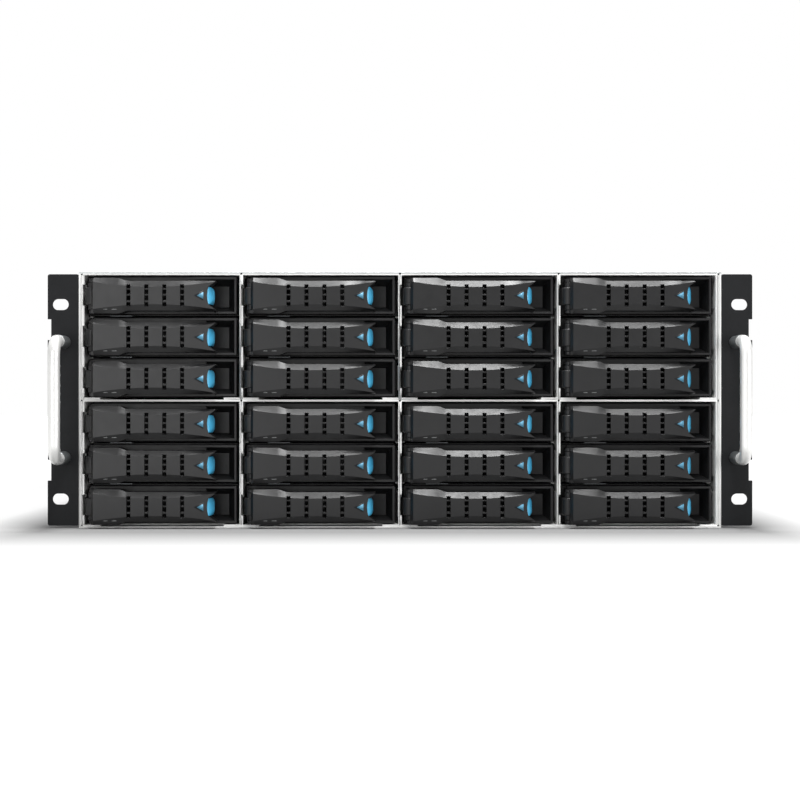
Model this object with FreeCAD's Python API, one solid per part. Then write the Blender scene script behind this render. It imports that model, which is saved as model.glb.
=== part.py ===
"""Disk shelf enclosure: a 4U, 19-inch rack chassis with 24 removable 3.5-inch disk carriers.

Units are millimetres and +Z is up. The front faces -Y and +X is to the right of someone
facing it. The origin is the centre of the four ear slots, on the ears' rear face, which
is the plane that meets the rack's rails. Each sub-part is written to parts/NODE.step.
"""
import FreeCAD
import Part
import math
import os

# ---- Driving dimensions: rack and chassis -------------------------------------------
PANEL_WIDTH = 482.6          # over both ears, the 19-inch panel width
SLOT_SPAN_X = 465.1          # slot to slot across the rack
SLOT_SPAN_Z = 133.35         # slot to slot up the rack, three rack units
BODY_WIDTH = 440.0
BODY_HEIGHT = 175.0
BODY_DEPTH = 500.0
BODY_BOTTOM = -86.2          # underside, below the middle of the slots
EAR_THICKNESS = 2.5
SHEET = 1.0                  # pan, cover, cage floor and cage roof
SIDE_SHEET = 1.4             # chassis side walls
REAR_SHEET = 1.2
SKIN_GAP = 0.3               # running gap between a sliding module and its bay

FRONT = -EAR_THICKNESS       # front edge of the chassis, flush with the ears
REAR = FRONT + BODY_DEPTH
BODY_TOP = BODY_BOTTOM + BODY_HEIGHT
HALF_BODY = BODY_WIDTH / 2
FLOOR = BODY_BOTTOM + SHEET  # inside of the pan
CEILING = BODY_TOP - SHEET   # underside of the cover

# ---- Driving dimensions: drive bays -------------------------------------------------
COLUMNS = 4
ROWS = 6                     # three in the upper cage and three in the lower one
BAY_PITCH_X = 108.7
BAY_PITCH_Z = 28.3
BAYS_Z = 1.2                 # halfway between the lowest upper bay and the highest lower bay
BAYS_TO_MIDDLE = 15.3        # from there to the middle of either bay
SHELF_Z = 0.85               # middle of the shelf between the two cages
SHELF_SHEET = 1.3
WALL_SHEET = 1.15            # each bay wall; two of them back to back divide two bays
CAGE_REAR = 178.0
NOTCH_HEIGHT = 14.4          # notch in each bay's left wall, for the lever's hook
NOTCH_DEPTH = 8.0
LEDGE_WIDTH = 2.1            # folded rail that carries a tray
LEDGE_SHEET = 1.0
LEDGE_TOP = -13.7            # below the middle of its bay
SUPPORT_WIDTH = 12.0         # broad rail on the shelf, under the lowest upper trays
SUPPORT_TOP = -13.6
FLOOR_RELIEF = 12.0          # how far the cage floor's front edge stands back between its tabs
SPRING_HEIGHT = 17.0
SPRING_LENGTH = 26.0
SPRING_BOW = 0.9

# ---- Driving dimensions: carrier (u runs right from the bay's left wall centre) -----
BEZEL_LEFT = 2.65
BEZEL_RIGHT = 105.0
RIM_FRONT = FRONT + 3.0      # front of the bezel's rim
BEZEL_HALF = 12.55
BEZEL_REAR = 16.0
BEZEL_WALL = 1.3
RECESS_FLOOR = 4.0           # floor of the recess that the lever closes into
POCKET_LEFT = 84.0           # finger pocket: a dish whose floor is smaller than its mouth
POCKET_FLOOR = 12.5
POCKET_FLOOR_LEFT = 86.0
POCKET_FLOOR_RIGHT = 98.9
POCKET_FLOOR_LOW = -7.6
POCKET_FLOOR_HIGH = 6.8
RIM_START = 66.0             # the rim rises from the recess floor here
RIM_FULL = 84.0              # and reaches the front here
HOOK_ROOM_RIGHT = 12.5       # clearance in the bezel for the turning hook
HOOK_ROOM_DEPTH = 9.5
HOOK_ROOM_HALF = 7.3
TRAY_SHEET = 1.2
TRAY_LEFT = 2.35
TRAY_RIGHT = 106.35
TRAY_BOTTOM = -13.4
TRAY_FLOOR_SHEET = 0.8
TRAY_RAIL_TOP = 11.0
TRAY_REAR = 171.0
DISK_WIDTH = 101.6
DISK_HEIGHT = 26.1
DISK_LENGTH = 147.0
DISK_FRONT = 24.0

# ---- Driving dimensions: lever ------------------------------------------------------
HINGE_U = 7.0
HINGE_Y = -3.0
PIN_RADIUS = 1.5
LEVER_DROP = 0.9             # the lever's middle, below its bay's
LEVER_LEFT = 7.2
LEVER_RIGHT = 91.9
LEVER_FRONT = FRONT - 10.5
LEVER_BACK = 1.5
LEVER_HALF_WIDE = 12.1       # half height beside the hinge
LEVER_HALF_SLIM = 10.1       # half height from the shoulder to the tip
SHOULDER_START = 25.1
SHOULDER_END = 32.5
BEVEL_DEPTH = 2.6
FACE_LEFT = 8.2              # the flat front face between the two bevels
FACE_RIGHT = 91.4
FACE_END_HALF = 9.3
FACE_WAIST_HALF = 5.9
LEVER_SKIN = 1.7
VENT_COLUMNS = (33.0, 45.2, 57.4, 69.5)
VENT_WIDTH = 2.2
VENT_ROWS = ((4.8, 7.6), (0.7, 3.3), (-3.4, -0.8), (-7.5, -4.9))
LENSES = ((15.9, 18.6), (21.5, 24.8))
LENS_Z = -9.2
LENS_HEIGHT = 0.8
LUG_HALF_WIDTH = 2.5
LUG_INNER = 9.6
LUG_OUTER = 11.6
HOOK_HALF = 6.0
KNUCKLE_RADIUS = 4.8         # rounded nose of the lever, about its hinge
SCOOP = ((91.9, 9.0), (87.5, 6.3), (86.6, 3.2), (86.3, 0.0))   # hollow tip, from its corner inwards
LATCH_HALF = 5.9
LATCH_LEFT = 82.0
LATCH_TIP = 90.2             # the latch's face slopes back from the scoop to here
LATCH_TIP_DEPTH = -2.5
LATCH_FRONT = LEVER_FRONT + LEVER_SKIN + 0.2
LATCH_REAR = 0.6
LATCH_TRAVEL = 2.5

# ---- Driving dimensions: ears and handles -------------------------------------------
EAR_HEIGHT = 172.2
EAR_CENTRE_Z = 1.3
EAR_CORNER = 1.5
EAR_NOTCH_DEPTH = 2.4
EAR_NOTCH_LOW = 41.0
EAR_NOTCH_HIGH = 55.3
EAR_FLANGE_LENGTH = 60.0
EAR_FLANGE_SHEET = 1.6
SLOT_LENGTH = 11.2
SLOT_HEIGHT = 7.6
HANDLE_X = 229.8
HANDLE_BAR = 8.2
HANDLE_SPAN = 79.0           # leg to leg
HANDLE_REACH = 40.0          # front of the bar, ahead of the ears
HANDLE_BEND = 10.0           # bend radius at the middle of the bar
STATUS_LAMPS = (23.2, 17.0, 9.8, 4.3, -1.5)
STATUS_LAMP_X = -233.4
STATUS_LAMP_RADIUS = 1.0

# ---- Driving dimensions: rear modules and boards ------------------------------------
BACKPLANE_FRONT = 180.0
BOARD = 2.4
DOCK_BOARD_FRONT = 240.0
PSU_INNER = 111.5            # nearest side of each supply to the middle
PSU_OUTER = 215.5
PSU_BOTTOM = FLOOR + SKIN_GAP
PSU_HEIGHT = 84.0
PSU_LENGTH = 248.0
PSU_SHEET = 1.2
FAN_OPENING_RADIUS = 33.0
FAN_RADIUS = 30.0
FAN_HUB_RADIUS = 13.0
FAN_LENGTH = 18.0
FAN_BLADES = 7
FAN_FROM_INNER = 37.0        # fan axis, from the supply's inner side
FAN_FRAME_HALF = 34.6
GUARD_WIRE = 1.6
FAN_Z = PSU_BOTTOM + PSU_HEIGHT / 2
INLET_WIDTH = 24.4
INLET_HEIGHT = 17.0
INLET_FROM_INNER = 86.0
INLET_Z = PSU_BOTTOM + 62.0
EXPANDER_HALF = 97.0
EXPANDER_BOTTOM = PSU_BOTTOM
EXPANDER_HEIGHT = 41.0
EXPANDER_LENGTH = 248.0
SAS_PORTS = (-52.0, -24.0, 4.0)
SAS_WIDTH = 15.0
SAS_HEIGHT = 6.0
SERVICE_PORT_X = 36.0
SERVICE_WIDTH = 12.0
SERVICE_HEIGHT = 9.0
PORT_DEPTH = 16.0
PORT_WALL = 0.8
PORT_Z = EXPANDER_BOTTOM + 15.0
DIVIDER_TOP = PSU_BOTTOM + PSU_HEIGHT + 1.0


# ---- Shape helpers ------------------------------------------------------------------
def vector(x, y, z):
    return FreeCAD.Vector(x, y, z)


def block(x0, x1, y0, y1, z0, z1):
    """A box between two corners."""
    return Part.makeBox(x1 - x0, y1 - y0, z1 - z0, vector(x0, y0, z0))


def rod(x, y, z, radius, length, direction=(0, 1, 0)):
    """A cylinder that starts at a point and runs along a direction."""
    return Part.makeCylinder(radius, length, vector(x, y, z), vector(*direction))


def prism(outline, y0, y1):
    """A closed outline of (x, z) points, extruded from y0 to y1."""
    points = [vector(x, y0, z) for x, z in outline]
    face = Part.Face(Part.makePolygon(points + points[:1]))
    return face.extrude(vector(0, y1 - y0, 0))


def plan_prism(outline, z0, z1):
    """A closed outline of (x, y) points, extruded from z0 to z1."""
    points = [vector(x, y, z0) for x, y in outline]
    face = Part.Face(Part.makePolygon(points + points[:1]))
    return face.extrude(vector(0, 0, z1 - z0))


def slot(x, z, length, height, y0, y1):
    """A level obround hole cutter, centred on (x, z)."""
    half = (length - height) / 2
    radius = height / 2
    left = rod(x - half, y0, z, radius, y1 - y0)
    right = rod(x + half, y0, z, radius, y1 - y0)
    middle = block(x - half, x + half, y0, y1, z - radius, z + radius)
    return middle.fuse([left, right])


def joined(shapes):
    """One solid from touching shapes, with the seams between them removed."""
    return shapes[0].fuse(shapes[1:]).removeSplitter()


def bay_left(column):
    """Centre of the wall to the left of a column, counted from 1."""
    return (column - 1 - COLUMNS / 2) * BAY_PITCH_X


def bay_middle(row):
    """Height of the middle of a row; row 1 is at the top."""
    upper = row <= ROWS // 2
    steps = ROWS // 2 - row if upper else row - ROWS // 2 - 1
    offset = BAYS_TO_MIDDLE + steps * BAY_PITCH_Z
    return BAYS_Z + (offset if upper else -offset)


def write(node, solids):
    """Write one sub-part, as a group of its separate solids."""
    Part.makeCompound(solids).exportStep(f"parts/{node}.step")
    print(node, len(solids), round(sum(solid.Volume for solid in solids) / 1000, 1))


# ---- Chassis ------------------------------------------------------------------------
def rear_panel():
    """The vented rear wall above the modules, and the posts between them."""
    y0, y1 = REAR - REAR_SHEET, REAR
    inside = HALF_BODY - SIDE_SHEET
    module_top = DIVIDER_TOP + SHEET
    panel = block(-inside, inside, y0, y1, module_top, CEILING)
    vents = []
    for field in (-1, 0, 1):
        for column in range(9):
            for row in range(8):
                x = field * 140.0 + (column - 4) * 13.5
                z = module_top + 9.0 + row * 9.2
                vents.append(slot(x, z, 10.5, 4.6, y0 - 1, y1 + 1))
    panel = panel.cut(Part.makeCompound(vents))
    expander_top = EXPANDER_BOTTOM + EXPANDER_HEIGHT + SKIN_GAP
    pieces = [panel, block(-EXPANDER_HALF - 1, EXPANDER_HALF + 1, y0, y1, expander_top, module_top)]
    for side in (-1, 1):
        posts = ((EXPANDER_HALF + 1, PSU_INNER - SKIN_GAP), (PSU_OUTER + SKIN_GAP, inside))
        for near, far in posts:
            x0, x1 = sorted((side * near, side * far))
            pieces.append(block(x0, x1, y0, y1, FLOOR, module_top))
    return pieces


def chassis_base():
    """Pan, side walls, rear wall and the dividers between the rear modules, spot-welded."""
    pan = block(-HALF_BODY, HALF_BODY, FRONT, REAR, BODY_BOTTOM, FLOOR)
    solids = [pan]
    for side in (-1, 1):
        x0, x1 = sorted((side * HALF_BODY, side * (HALF_BODY - SIDE_SHEET)))
        solids.append(block(x0, x1, FRONT, REAR, FLOOR, CEILING))
        x0, x1 = sorted((side * (EXPANDER_HALF + 6), side * (EXPANDER_HALF + 7)))
        solids.append(block(x0, x1, REAR - PSU_LENGTH, REAR - REAR_SHEET, FLOOR, DIVIDER_TOP))
    inside = HALF_BODY - SIDE_SHEET
    deck = block(-inside, inside, REAR - PSU_LENGTH, REAR - REAR_SHEET, DIVIDER_TOP, DIVIDER_TOP + SHEET)
    return solids + [deck] + rear_panel()


def top_cover():
    """Flat lid and its countersunk screws."""
    lid = block(-HALF_BODY, HALF_BODY, FRONT, REAR, CEILING, BODY_TOP)
    screws = []
    holes = []
    for x in (-205.0, 0.0, 205.0):
        for y in (30.0, 170.0, REAR - 18.0):
            holes.append(rod(x, y, CEILING, 3.2, SHEET, (0, 0, 1)))
            screws.append(rod(x, y, CEILING, 3.0, SHEET - 0.1, (0, 0, 1)))
    return [lid.cut(Part.makeCompound(holes))] + screws


# ---- Drive cage ---------------------------------------------------------------------
def bay_wall(x0, x1, z0, z1, notch_rows):
    """One upright sheet of a cage, notched at its front edge for the lever hooks."""
    wall = block(x0, x1, FRONT, CAGE_REAR, z0, z1)
    half = NOTCH_HEIGHT / 2
    for row in notch_rows:
        z = bay_middle(row)
        notch = block(x0 - 1, x1 + 1, FRONT - 1, FRONT + NOTCH_DEPTH, z - half, z + half)
        wall = wall.cut(notch)
    return wall


def leaf_spring(x, z):
    """A bowed leaf on the inner face of a bay's right wall, which steadies the carrier."""
    half = SPRING_HEIGHT / 2
    y0 = FRONT + 2.0
    middle = y0 + SPRING_LENGTH / 2
    outline = [(x, y0), (x, y0 + SPRING_LENGTH), (x - SPRING_BOW, middle + 3), (x - SPRING_BOW, middle - 3)]
    return plan_prism(outline, z - half, z + half)


def drive_cage():
    """Two stacked cages of folded sheet that make the 24 bays."""
    edge = COLUMNS / 2 * BAY_PITCH_X
    shelf_half = SHELF_SHEET / 2
    floor = block(-edge, edge, FRONT, CAGE_REAR, FLOOR, FLOOR + SHEET)
    for column in range(1, COLUMNS + 1):
        left = bay_left(column)
        floor = floor.cut(block(left + SUPPORT_WIDTH, left + BAY_PITCH_X - SUPPORT_WIDTH, FRONT - 1,
                                FRONT + FLOOR_RELIEF, FLOOR - 1, FLOOR + SHEET + 1))
    solids = [floor,
              block(-edge, edge, FRONT, CAGE_REAR, CEILING - SHEET, CEILING),
              block(-edge, edge, FRONT, CAGE_REAR, SHELF_Z - shelf_half, SHELF_Z + shelf_half)]
    cages = ((SHELF_Z + shelf_half, CEILING - SHEET, range(1, ROWS // 2 + 1)),
             (FLOOR + SHEET, SHELF_Z - shelf_half, range(ROWS // 2 + 1, ROWS + 1)))
    for z0, z1, rows in cages:
        for column in range(1, COLUMNS + 1):
            left = bay_left(column)
            right = left + BAY_PITCH_X
            solids.append(bay_wall(left, left + WALL_SHEET, z0, z1, rows))
            solids.append(bay_wall(right - WALL_SHEET, right, z0, z1, ()))
            for row in rows:
                z = bay_middle(row)
                solids.append(leaf_spring(right - WALL_SHEET, z))
                if row == ROWS:
                    continue  # the lowest tray rests on the cage's own floor
                on_shelf = row == ROWS // 2
                width = SUPPORT_WIDTH - WALL_SHEET if on_shelf else LEDGE_WIDTH
                y0 = FRONT if on_shelf else BEZEL_REAR + 4
                top = z + (SUPPORT_TOP if on_shelf else LEDGE_TOP)
                bottom = SHELF_Z + shelf_half if on_shelf else top - LEDGE_SHEET
                near, far = left + WALL_SHEET, right - WALL_SHEET
                for x0, x1 in ((near, near + width), (far - width, far)):
                    solids.append(block(x0, x1, y0, CAGE_REAR - 8, bottom, top))
        for side in (-1, 1):
            x0, x1 = sorted((side * edge, side * (edge + 0.9)))
            solids.append(block(x0, x1, FRONT, FRONT + 12.0, z0, z1))
    return solids


# ---- Ears and handles ---------------------------------------------------------------
def ear(side):
    """One rack ear: a slotted, notched plate, and the flange behind it on the chassis side."""
    inner, outer = HALF_BODY, PANEL_WIDTH / 2
    half = EAR_HEIGHT / 2
    plate = block(inner, outer, -EAR_THICKNESS, 0, EAR_CENTRE_Z - half, EAR_CENTRE_Z + half)
    corners = [e for e in plate.Edges if e.Vertexes[0].Y != e.Vertexes[1].Y]
    plate = plate.makeFillet(EAR_CORNER, corners)
    cutters = []
    for z in (-SLOT_SPAN_Z / 2, SLOT_SPAN_Z / 2):
        cutters.append(slot(SLOT_SPAN_X / 2, z, SLOT_LENGTH, SLOT_HEIGHT, -EAR_THICKNESS - 1, 1))
    for up in (-1, 1):
        z0, z1 = sorted((EAR_CENTRE_Z + up * EAR_NOTCH_LOW, EAR_CENTRE_Z + up * EAR_NOTCH_HIGH))
        cutters.append(block(outer - EAR_NOTCH_DEPTH, outer + 1, -EAR_THICKNESS - 1, 1, z0, z1))
    plate = plate.cut(Part.makeCompound(cutters))
    flange = block(inner, inner + EAR_FLANGE_SHEET, 0, EAR_FLANGE_LENGTH,
                   EAR_CENTRE_Z - half + 6, EAR_CENTRE_Z + half - 6)
    if side > 0:
        return [plate, flange]
    return [solid.mirror(vector(0, 0, 0), vector(1, 0, 0)) for solid in (plate, flange)]


def rack_ears():
    """Both ears, the screws that hold their flanges and the left ear's status lamps."""
    left, left_flange = ear(-1)
    lamps = []
    for offset in STATUS_LAMPS:
        z = EAR_CENTRE_Z + offset
        hole = rod(STATUS_LAMP_X, -EAR_THICKNESS - 1, z, STATUS_LAMP_RADIUS, EAR_THICKNESS + 2)
        left = left.cut(hole)
        lamps.append(rod(STATUS_LAMP_X, -EAR_THICKNESS - 0.3, z, STATUS_LAMP_RADIUS, EAR_THICKNESS))
    screws = []
    face = HALF_BODY + EAR_FLANGE_SHEET
    for side in (-1, 1):
        for z in (-55.0, 0.0, 55.0):
            for y in (18.0, 44.0):
                screws.append(rod(side * face, y, EAR_CENTRE_Z + z, 3.5, 1.2, (side, 0, 0)))
    return [left, left_flange] + ear(1) + lamps + screws


def handle(side):
    """A round bar bent to a U, its legs running back to the ear."""
    x = side * HANDLE_X
    radius = HANDLE_BAR / 2
    y = -EAR_THICKNESS - HANDLE_REACH + radius
    low = EAR_CENTRE_Z - HANDLE_SPAN / 2
    high = EAR_CENTRE_Z + HANDLE_SPAN / 2
    bend = HANDLE_BEND
    slant = bend * (1 - math.sqrt(0.5))
    path = Part.Wire([
        Part.makeLine(vector(x, -EAR_THICKNESS, low), vector(x, y + bend, low)),
        Part.Arc(vector(x, y + bend, low), vector(x, y + slant, low + slant),
                 vector(x, y, low + bend)).toShape(),
        Part.makeLine(vector(x, y, low + bend), vector(x, y, high - bend)),
        Part.Arc(vector(x, y, high - bend), vector(x, y + slant, high - slant),
                 vector(x, y + bend, high)).toShape(),
        Part.makeLine(vector(x, y + bend, high), vector(x, -EAR_THICKNESS, high))])
    profile = Part.Wire(Part.makeCircle(radius, vector(x, -EAR_THICKNESS, low), vector(0, -1, 0)))
    return path.makePipeShell([profile], True, False)


def bar_handles():
    """Both pull handles with the screws that hold them from behind the ears."""
    solids = [handle(-1), handle(1)]
    for side in (-1, 1):
        for z in (EAR_CENTRE_Z - HANDLE_SPAN / 2, EAR_CENTRE_Z + HANDLE_SPAN / 2):
            solids.append(rod(side * HANDLE_X, 0, z, 3.4, 1.8))
    return solids


# ---- Carrier ------------------------------------------------------------------------
def finger_dish(far, half):
    """Cutter for the finger pocket, a hollow that narrows on all sides to its floor."""
    def frame(u0, u1, z0, z1, y):
        corners = [vector(u0, y, z0), vector(u1, y, z0), vector(u1, y, z1), vector(u0, y, z1)]
        return Part.makePolygon(corners + corners[:1])
    mouth = frame(POCKET_LEFT, far - 0.2, 0.2 - half, half - 0.2, RECESS_FLOOR)
    floor = frame(POCKET_FLOOR_LEFT, POCKET_FLOOR_RIGHT, POCKET_FLOOR_LOW, POCKET_FLOOR_HIGH, POCKET_FLOOR)
    dish = Part.makeLoft([mouth, floor], True, True)
    return joined([dish, block(POCKET_LEFT, far - 0.2, RIM_FRONT - 1, RECESS_FLOOR, 0.2 - half, half - 0.2)])


def bezel():
    """Carrier front: lever recess, finger pocket, hinge lugs and air openings."""
    half = BEZEL_HALF
    inner = half - BEZEL_WALL
    body = block(BEZEL_LEFT, BEZEL_RIGHT, RIM_FRONT, BEZEL_REAR, -half, half)
    far = BEZEL_RIGHT - BEZEL_WALL
    cutters = [block(HINGE_U - 0.5, far, RIM_FRONT - 1, RECESS_FLOOR, -inner, inner),
               finger_dish(far, inner),
               block(0, HINGE_U - 0.5, RIM_FRONT - 1, HOOK_ROOM_DEPTH, -half - 1, half + 1),
               block(0, HOOK_ROOM_RIGHT, RIM_FRONT - 1, HOOK_ROOM_DEPTH,
                     -HOOK_ROOM_HALF - LEVER_DROP, HOOK_ROOM_HALF - LEVER_DROP),
               plan_prism([(0, RIM_FRONT - 1), (RIM_FULL, RIM_FRONT - 1), (RIM_FULL, RIM_FRONT),
                           (RIM_START, RECESS_FLOOR), (0, RECESS_FLOOR)], -half - 1, half + 1)]
    for index in range(5):
        u = 18.0 + index * 13.0
        cutters.append(block(u, u + 9.0, 0, BEZEL_REAR + 1, -7.5, 7.5))
    for cutter in cutters:
        body = body.cut(cutter)
    lugs = []
    for side in (-1, 1):
        z0 = min(side * LUG_INNER, side * LUG_OUTER) - LEVER_DROP
        height = LUG_OUTER - LUG_INNER
        eye = rod(HINGE_U, HINGE_Y, z0, LUG_HALF_WIDTH, height, (0, 0, 1))
        neck = block(HINGE_U - LUG_HALF_WIDTH, HINGE_U + LUG_HALF_WIDTH, HINGE_Y, HOOK_ROOM_DEPTH,
                     z0, z0 + height)
        hole = rod(HINGE_U, HINGE_Y, z0 - 1, PIN_RADIUS + 0.05, height + 2, (0, 0, 1))
        lugs.append(eye.fuse(neck).cut(hole))
    return joined([body] + lugs)


def tray():
    """Open sheet tray: a floor with a side rail folded up along each edge."""
    z0 = TRAY_BOTTOM
    floor = block(TRAY_LEFT, TRAY_RIGHT, BEZEL_REAR, TRAY_REAR, z0, z0 + TRAY_FLOOR_SHEET)
    left = block(TRAY_LEFT, TRAY_LEFT + TRAY_SHEET, BEZEL_REAR, TRAY_REAR, z0, TRAY_RAIL_TOP)
    right = block(TRAY_RIGHT - TRAY_SHEET, TRAY_RIGHT, BEZEL_REAR, TRAY_REAR, z0, TRAY_RAIL_TOP)
    return joined([floor, left, right])


def disk():
    """3.5-inch disk drive: a cast base, hollow under its lid."""
    u0 = (TRAY_LEFT + TRAY_RIGHT - DISK_WIDTH) / 2
    u1 = u0 + DISK_WIDTH
    z0 = TRAY_BOTTOM + TRAY_FLOOR_SHEET
    z1 = z0 + DISK_HEIGHT
    y1 = DISK_FRONT + DISK_LENGTH
    lid_sheet = 1.2
    casting = block(u0, u1, DISK_FRONT, y1, z0, z1 - lid_sheet)
    cavity = block(u0 + 6, u1 - 6, DISK_FRONT + 8, y1 - 28, z1 - 18, z1 - lid_sheet + 1)
    lid = block(u0 + 1.5, u1 - 1.5, DISK_FRONT + 1.5, y1 - 14, z1 - lid_sheet, z1)
    return [casting.cut(cavity), lid]


def carrier():
    """Bezel, tray and disk of one carrier, about its bay's left wall and middle."""
    return [bezel(), tray()] + disk()


# ---- Lever and latch ----------------------------------------------------------------
def face_half(u):
    """Half height of the lever's flat face, a shallow arc waisted in the middle."""
    middle = (FACE_LEFT + FACE_RIGHT) / 2
    reach = (FACE_RIGHT - FACE_LEFT) / 2
    sag = FACE_END_HALF - FACE_WAIST_HALF
    return FACE_END_HALF - sag * (1 - ((u - middle) / reach) ** 2)


def face_edge(u0, u1, y, side):
    """The stretch of the flat face's curved edge between two places."""
    middle = (u0 + u1) / 2
    points = [vector(u, y, side * face_half(u)) for u in (u0, middle, u1)]
    return Part.Arc(*points).toShape()


def lever_blank():
    """The lever's outer form: a shouldered slab whose front is bevelled to a waisted face."""
    stations = (LEVER_LEFT, SHOULDER_START, SHOULDER_END, LEVER_RIGHT)
    halves = (LEVER_HALF_WIDE, LEVER_HALF_WIDE, LEVER_HALF_SLIM, LEVER_HALF_SLIM)
    outline = [(u, -h) for u, h in zip(stations, halves)]
    outline += [(u, h) for u, h in reversed(list(zip(stations, halves)))]
    y_back = LEVER_FRONT + BEVEL_DEPTH
    slab = prism(outline, y_back, LEVER_BACK)
    points = [vector(u, y_back, z) for u, z in outline]
    rear_wire = Part.makePolygon(points + points[:1])
    spans = ((FACE_LEFT, SHOULDER_START), (SHOULDER_START, SHOULDER_END), (SHOULDER_END, FACE_RIGHT))
    low = [face_edge(u0, u1, LEVER_FRONT, -1) for u0, u1 in spans]
    high = [face_edge(u1, u0, LEVER_FRONT, 1) for u0, u1 in reversed(spans)]
    tip = Part.makeLine(vector(FACE_RIGHT, LEVER_FRONT, -face_half(FACE_RIGHT)),
                        vector(FACE_RIGHT, LEVER_FRONT, face_half(FACE_RIGHT)))
    heel = Part.makeLine(vector(FACE_LEFT, LEVER_FRONT, face_half(FACE_LEFT)),
                         vector(FACE_LEFT, LEVER_FRONT, -face_half(FACE_LEFT)))
    front_wire = Part.Wire(low + [tip] + high + [heel])
    front = Part.makeLoft([rear_wire, front_wire], True, True)
    return joined([slab, front])


def tip_scoop():
    """Cutter for the lever's hollow tip: a facetted bay between its two corners."""
    corner_u, corner_z = SCOOP[0]
    upper = [(corner_u + 1, corner_z)] + list(SCOOP)
    lower = [(u, -z) for u, z in reversed(upper[:-1])]
    return prism(upper + lower, LEVER_FRONT - 1, LEVER_BACK + 1)


def lens_block(u0, u1, y0, y1):
    return block(u0, u1, y0, y1, LENS_Z - LENS_HEIGHT / 2, LENS_Z + LENS_HEIGHT / 2)


def lever_shell():
    """Moulded lever with its vents, hook, hinge hole and latch channel."""
    skin = LEVER_FRONT + LEVER_SKIN
    channel_half = LATCH_HALF + 0.3
    shell = lever_blank()
    cutters = [block(13.0, 82.0, skin + 0.6, LEVER_BACK + 1, -7.0, 7.0),
               block(LATCH_LEFT - LATCH_TRAVEL - 0.5, LEVER_RIGHT + 1, skin, LEVER_BACK + 1,
                     -channel_half, channel_half),
               tip_scoop()]
    for side in (-1, 1):
        z0, z1 = sorted((side * (LUG_INNER - 0.4), side * (LEVER_HALF_WIDE + 1)))
        cutters.append(block(LEVER_LEFT - 1, 10.5, LEVER_FRONT + BEVEL_DEPTH + 2, LEVER_BACK + 1, z0, z1))
    for u in VENT_COLUMNS:
        for z0, z1 in VENT_ROWS:
            cutters.append(block(u - VENT_WIDTH / 2, u + VENT_WIDTH / 2, LEVER_FRONT - 1, skin + 1.5, z0, z1))
    for u0, u1 in LENSES:
        cutters.append(lens_block(u0, u1, LEVER_FRONT - 1, -7.4))
    for cutter in cutters:
        shell = shell.cut(cutter)
    outline = [(HINGE_U - 0.6, HINGE_Y - 1.6), (0.6, 2.0), (0.45, 3.2), (1.6, 3.8), (HINGE_U + 1.0, 1.2)]
    hook = plan_prism(outline, -HOOK_HALF, HOOK_HALF)
    knuckle = rod(HINGE_U, HINGE_Y, -HOOK_HALF, KNUCKLE_RADIUS, 2 * HOOK_HALF, (0, 0, 1))
    axle = rod(HINGE_U, HINGE_Y, 0.4 - LUG_INNER, 3.0, 2 * (LUG_INNER - 0.4), (0, 0, 1))
    shell = joined([shell, knuckle, axle, hook])
    bore = rod(HINGE_U, HINGE_Y, -LUG_OUTER, PIN_RADIUS, 2 * LUG_OUTER, (0, 0, 1))
    return shell.cut(bore)


def latch():
    """Release button in the lever's tip, with a sloping face; it slides towards the hinge."""
    middle = SCOOP[-1][0] + 0.3
    outline = [(LATCH_LEFT, LATCH_REAR), (LATCH_LEFT, LATCH_FRONT), (middle, LATCH_FRONT),
               (LATCH_TIP, LATCH_TIP_DEPTH), (LATCH_TIP, LATCH_REAR)]
    return plan_prism(outline, -LATCH_HALF, LATCH_HALF)


def lever():
    """Lever shell with its hinge pin and lamp lenses, about its bay's left wall and middle."""
    pin = rod(HINGE_U, HINGE_Y, -LUG_OUTER, PIN_RADIUS, 2 * LUG_OUTER, (0, 0, 1))
    lenses = [lens_block(u0, u1, LEVER_FRONT + 0.9, -7.4) for u0, u1 in LENSES]
    return [lever_shell(), pin] + lenses


# ---- Boards and rear modules --------------------------------------------------------
def backplane():
    """Drive backplane, the docking board behind it and the two cards that join them."""
    edge = COLUMNS / 2 * BAY_PITCH_X
    y = BACKPLANE_FRONT
    board = block(-edge, edge, y, y + BOARD, FLOOR + 2, CEILING - 2)
    sockets, vents = [], []
    for column in range(1, COLUMNS + 1):
        for row in range(1, ROWS + 1):
            u, z = bay_left(column), bay_middle(row)
            sockets.append(block(u + 22, u + 64, TRAY_REAR + 0.6, y, z - 11.0, z - 4.0))
            for x0 in (8.0, 58.0):
                vents.append(block(u + x0, u + x0 + 42, y - 1, y + BOARD + 1, z, z + 9.0))
    board = board.cut(Part.makeCompound(vents))
    dock_y = DOCK_BOARD_FRONT
    dock = block(-PSU_OUTER, PSU_OUTER, dock_y, dock_y + BOARD, FLOOR + 2, DIVIDER_TOP)
    cards = [block(x, x + 1.6, y + BOARD, dock_y, -70.0, -10.0) for x in (-60.0, 60.0)]
    plugs = [block(x - 20, x + 20, dock_y + BOARD, REAR - PSU_LENGTH - 1, -60.0, -48.0)
             for x in (-163.0, 0.0, 163.0)]
    return [board] + sockets + [dock] + cards + plugs


def fan_guard(x, z, y):
    """Wire finger guard: a cross of two wires on the face, and four rings on the cross."""
    wire = GUARD_WIRE / 2
    rings = [Part.makeTorus(radius, wire, vector(x, y + 3 * wire, z), vector(0, 1, 0))
             for radius in (8.0, 16.0, 24.0, 32.0)]
    length = 2 * FAN_FRAME_HALF
    reach = length / 2 * math.sqrt(0.5)
    cross = [rod(x - reach, y + wire, z - reach * slope, wire, length, (1, 0, slope)) for slope in (1, -1)]
    return rings + [joined(cross)]


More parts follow.
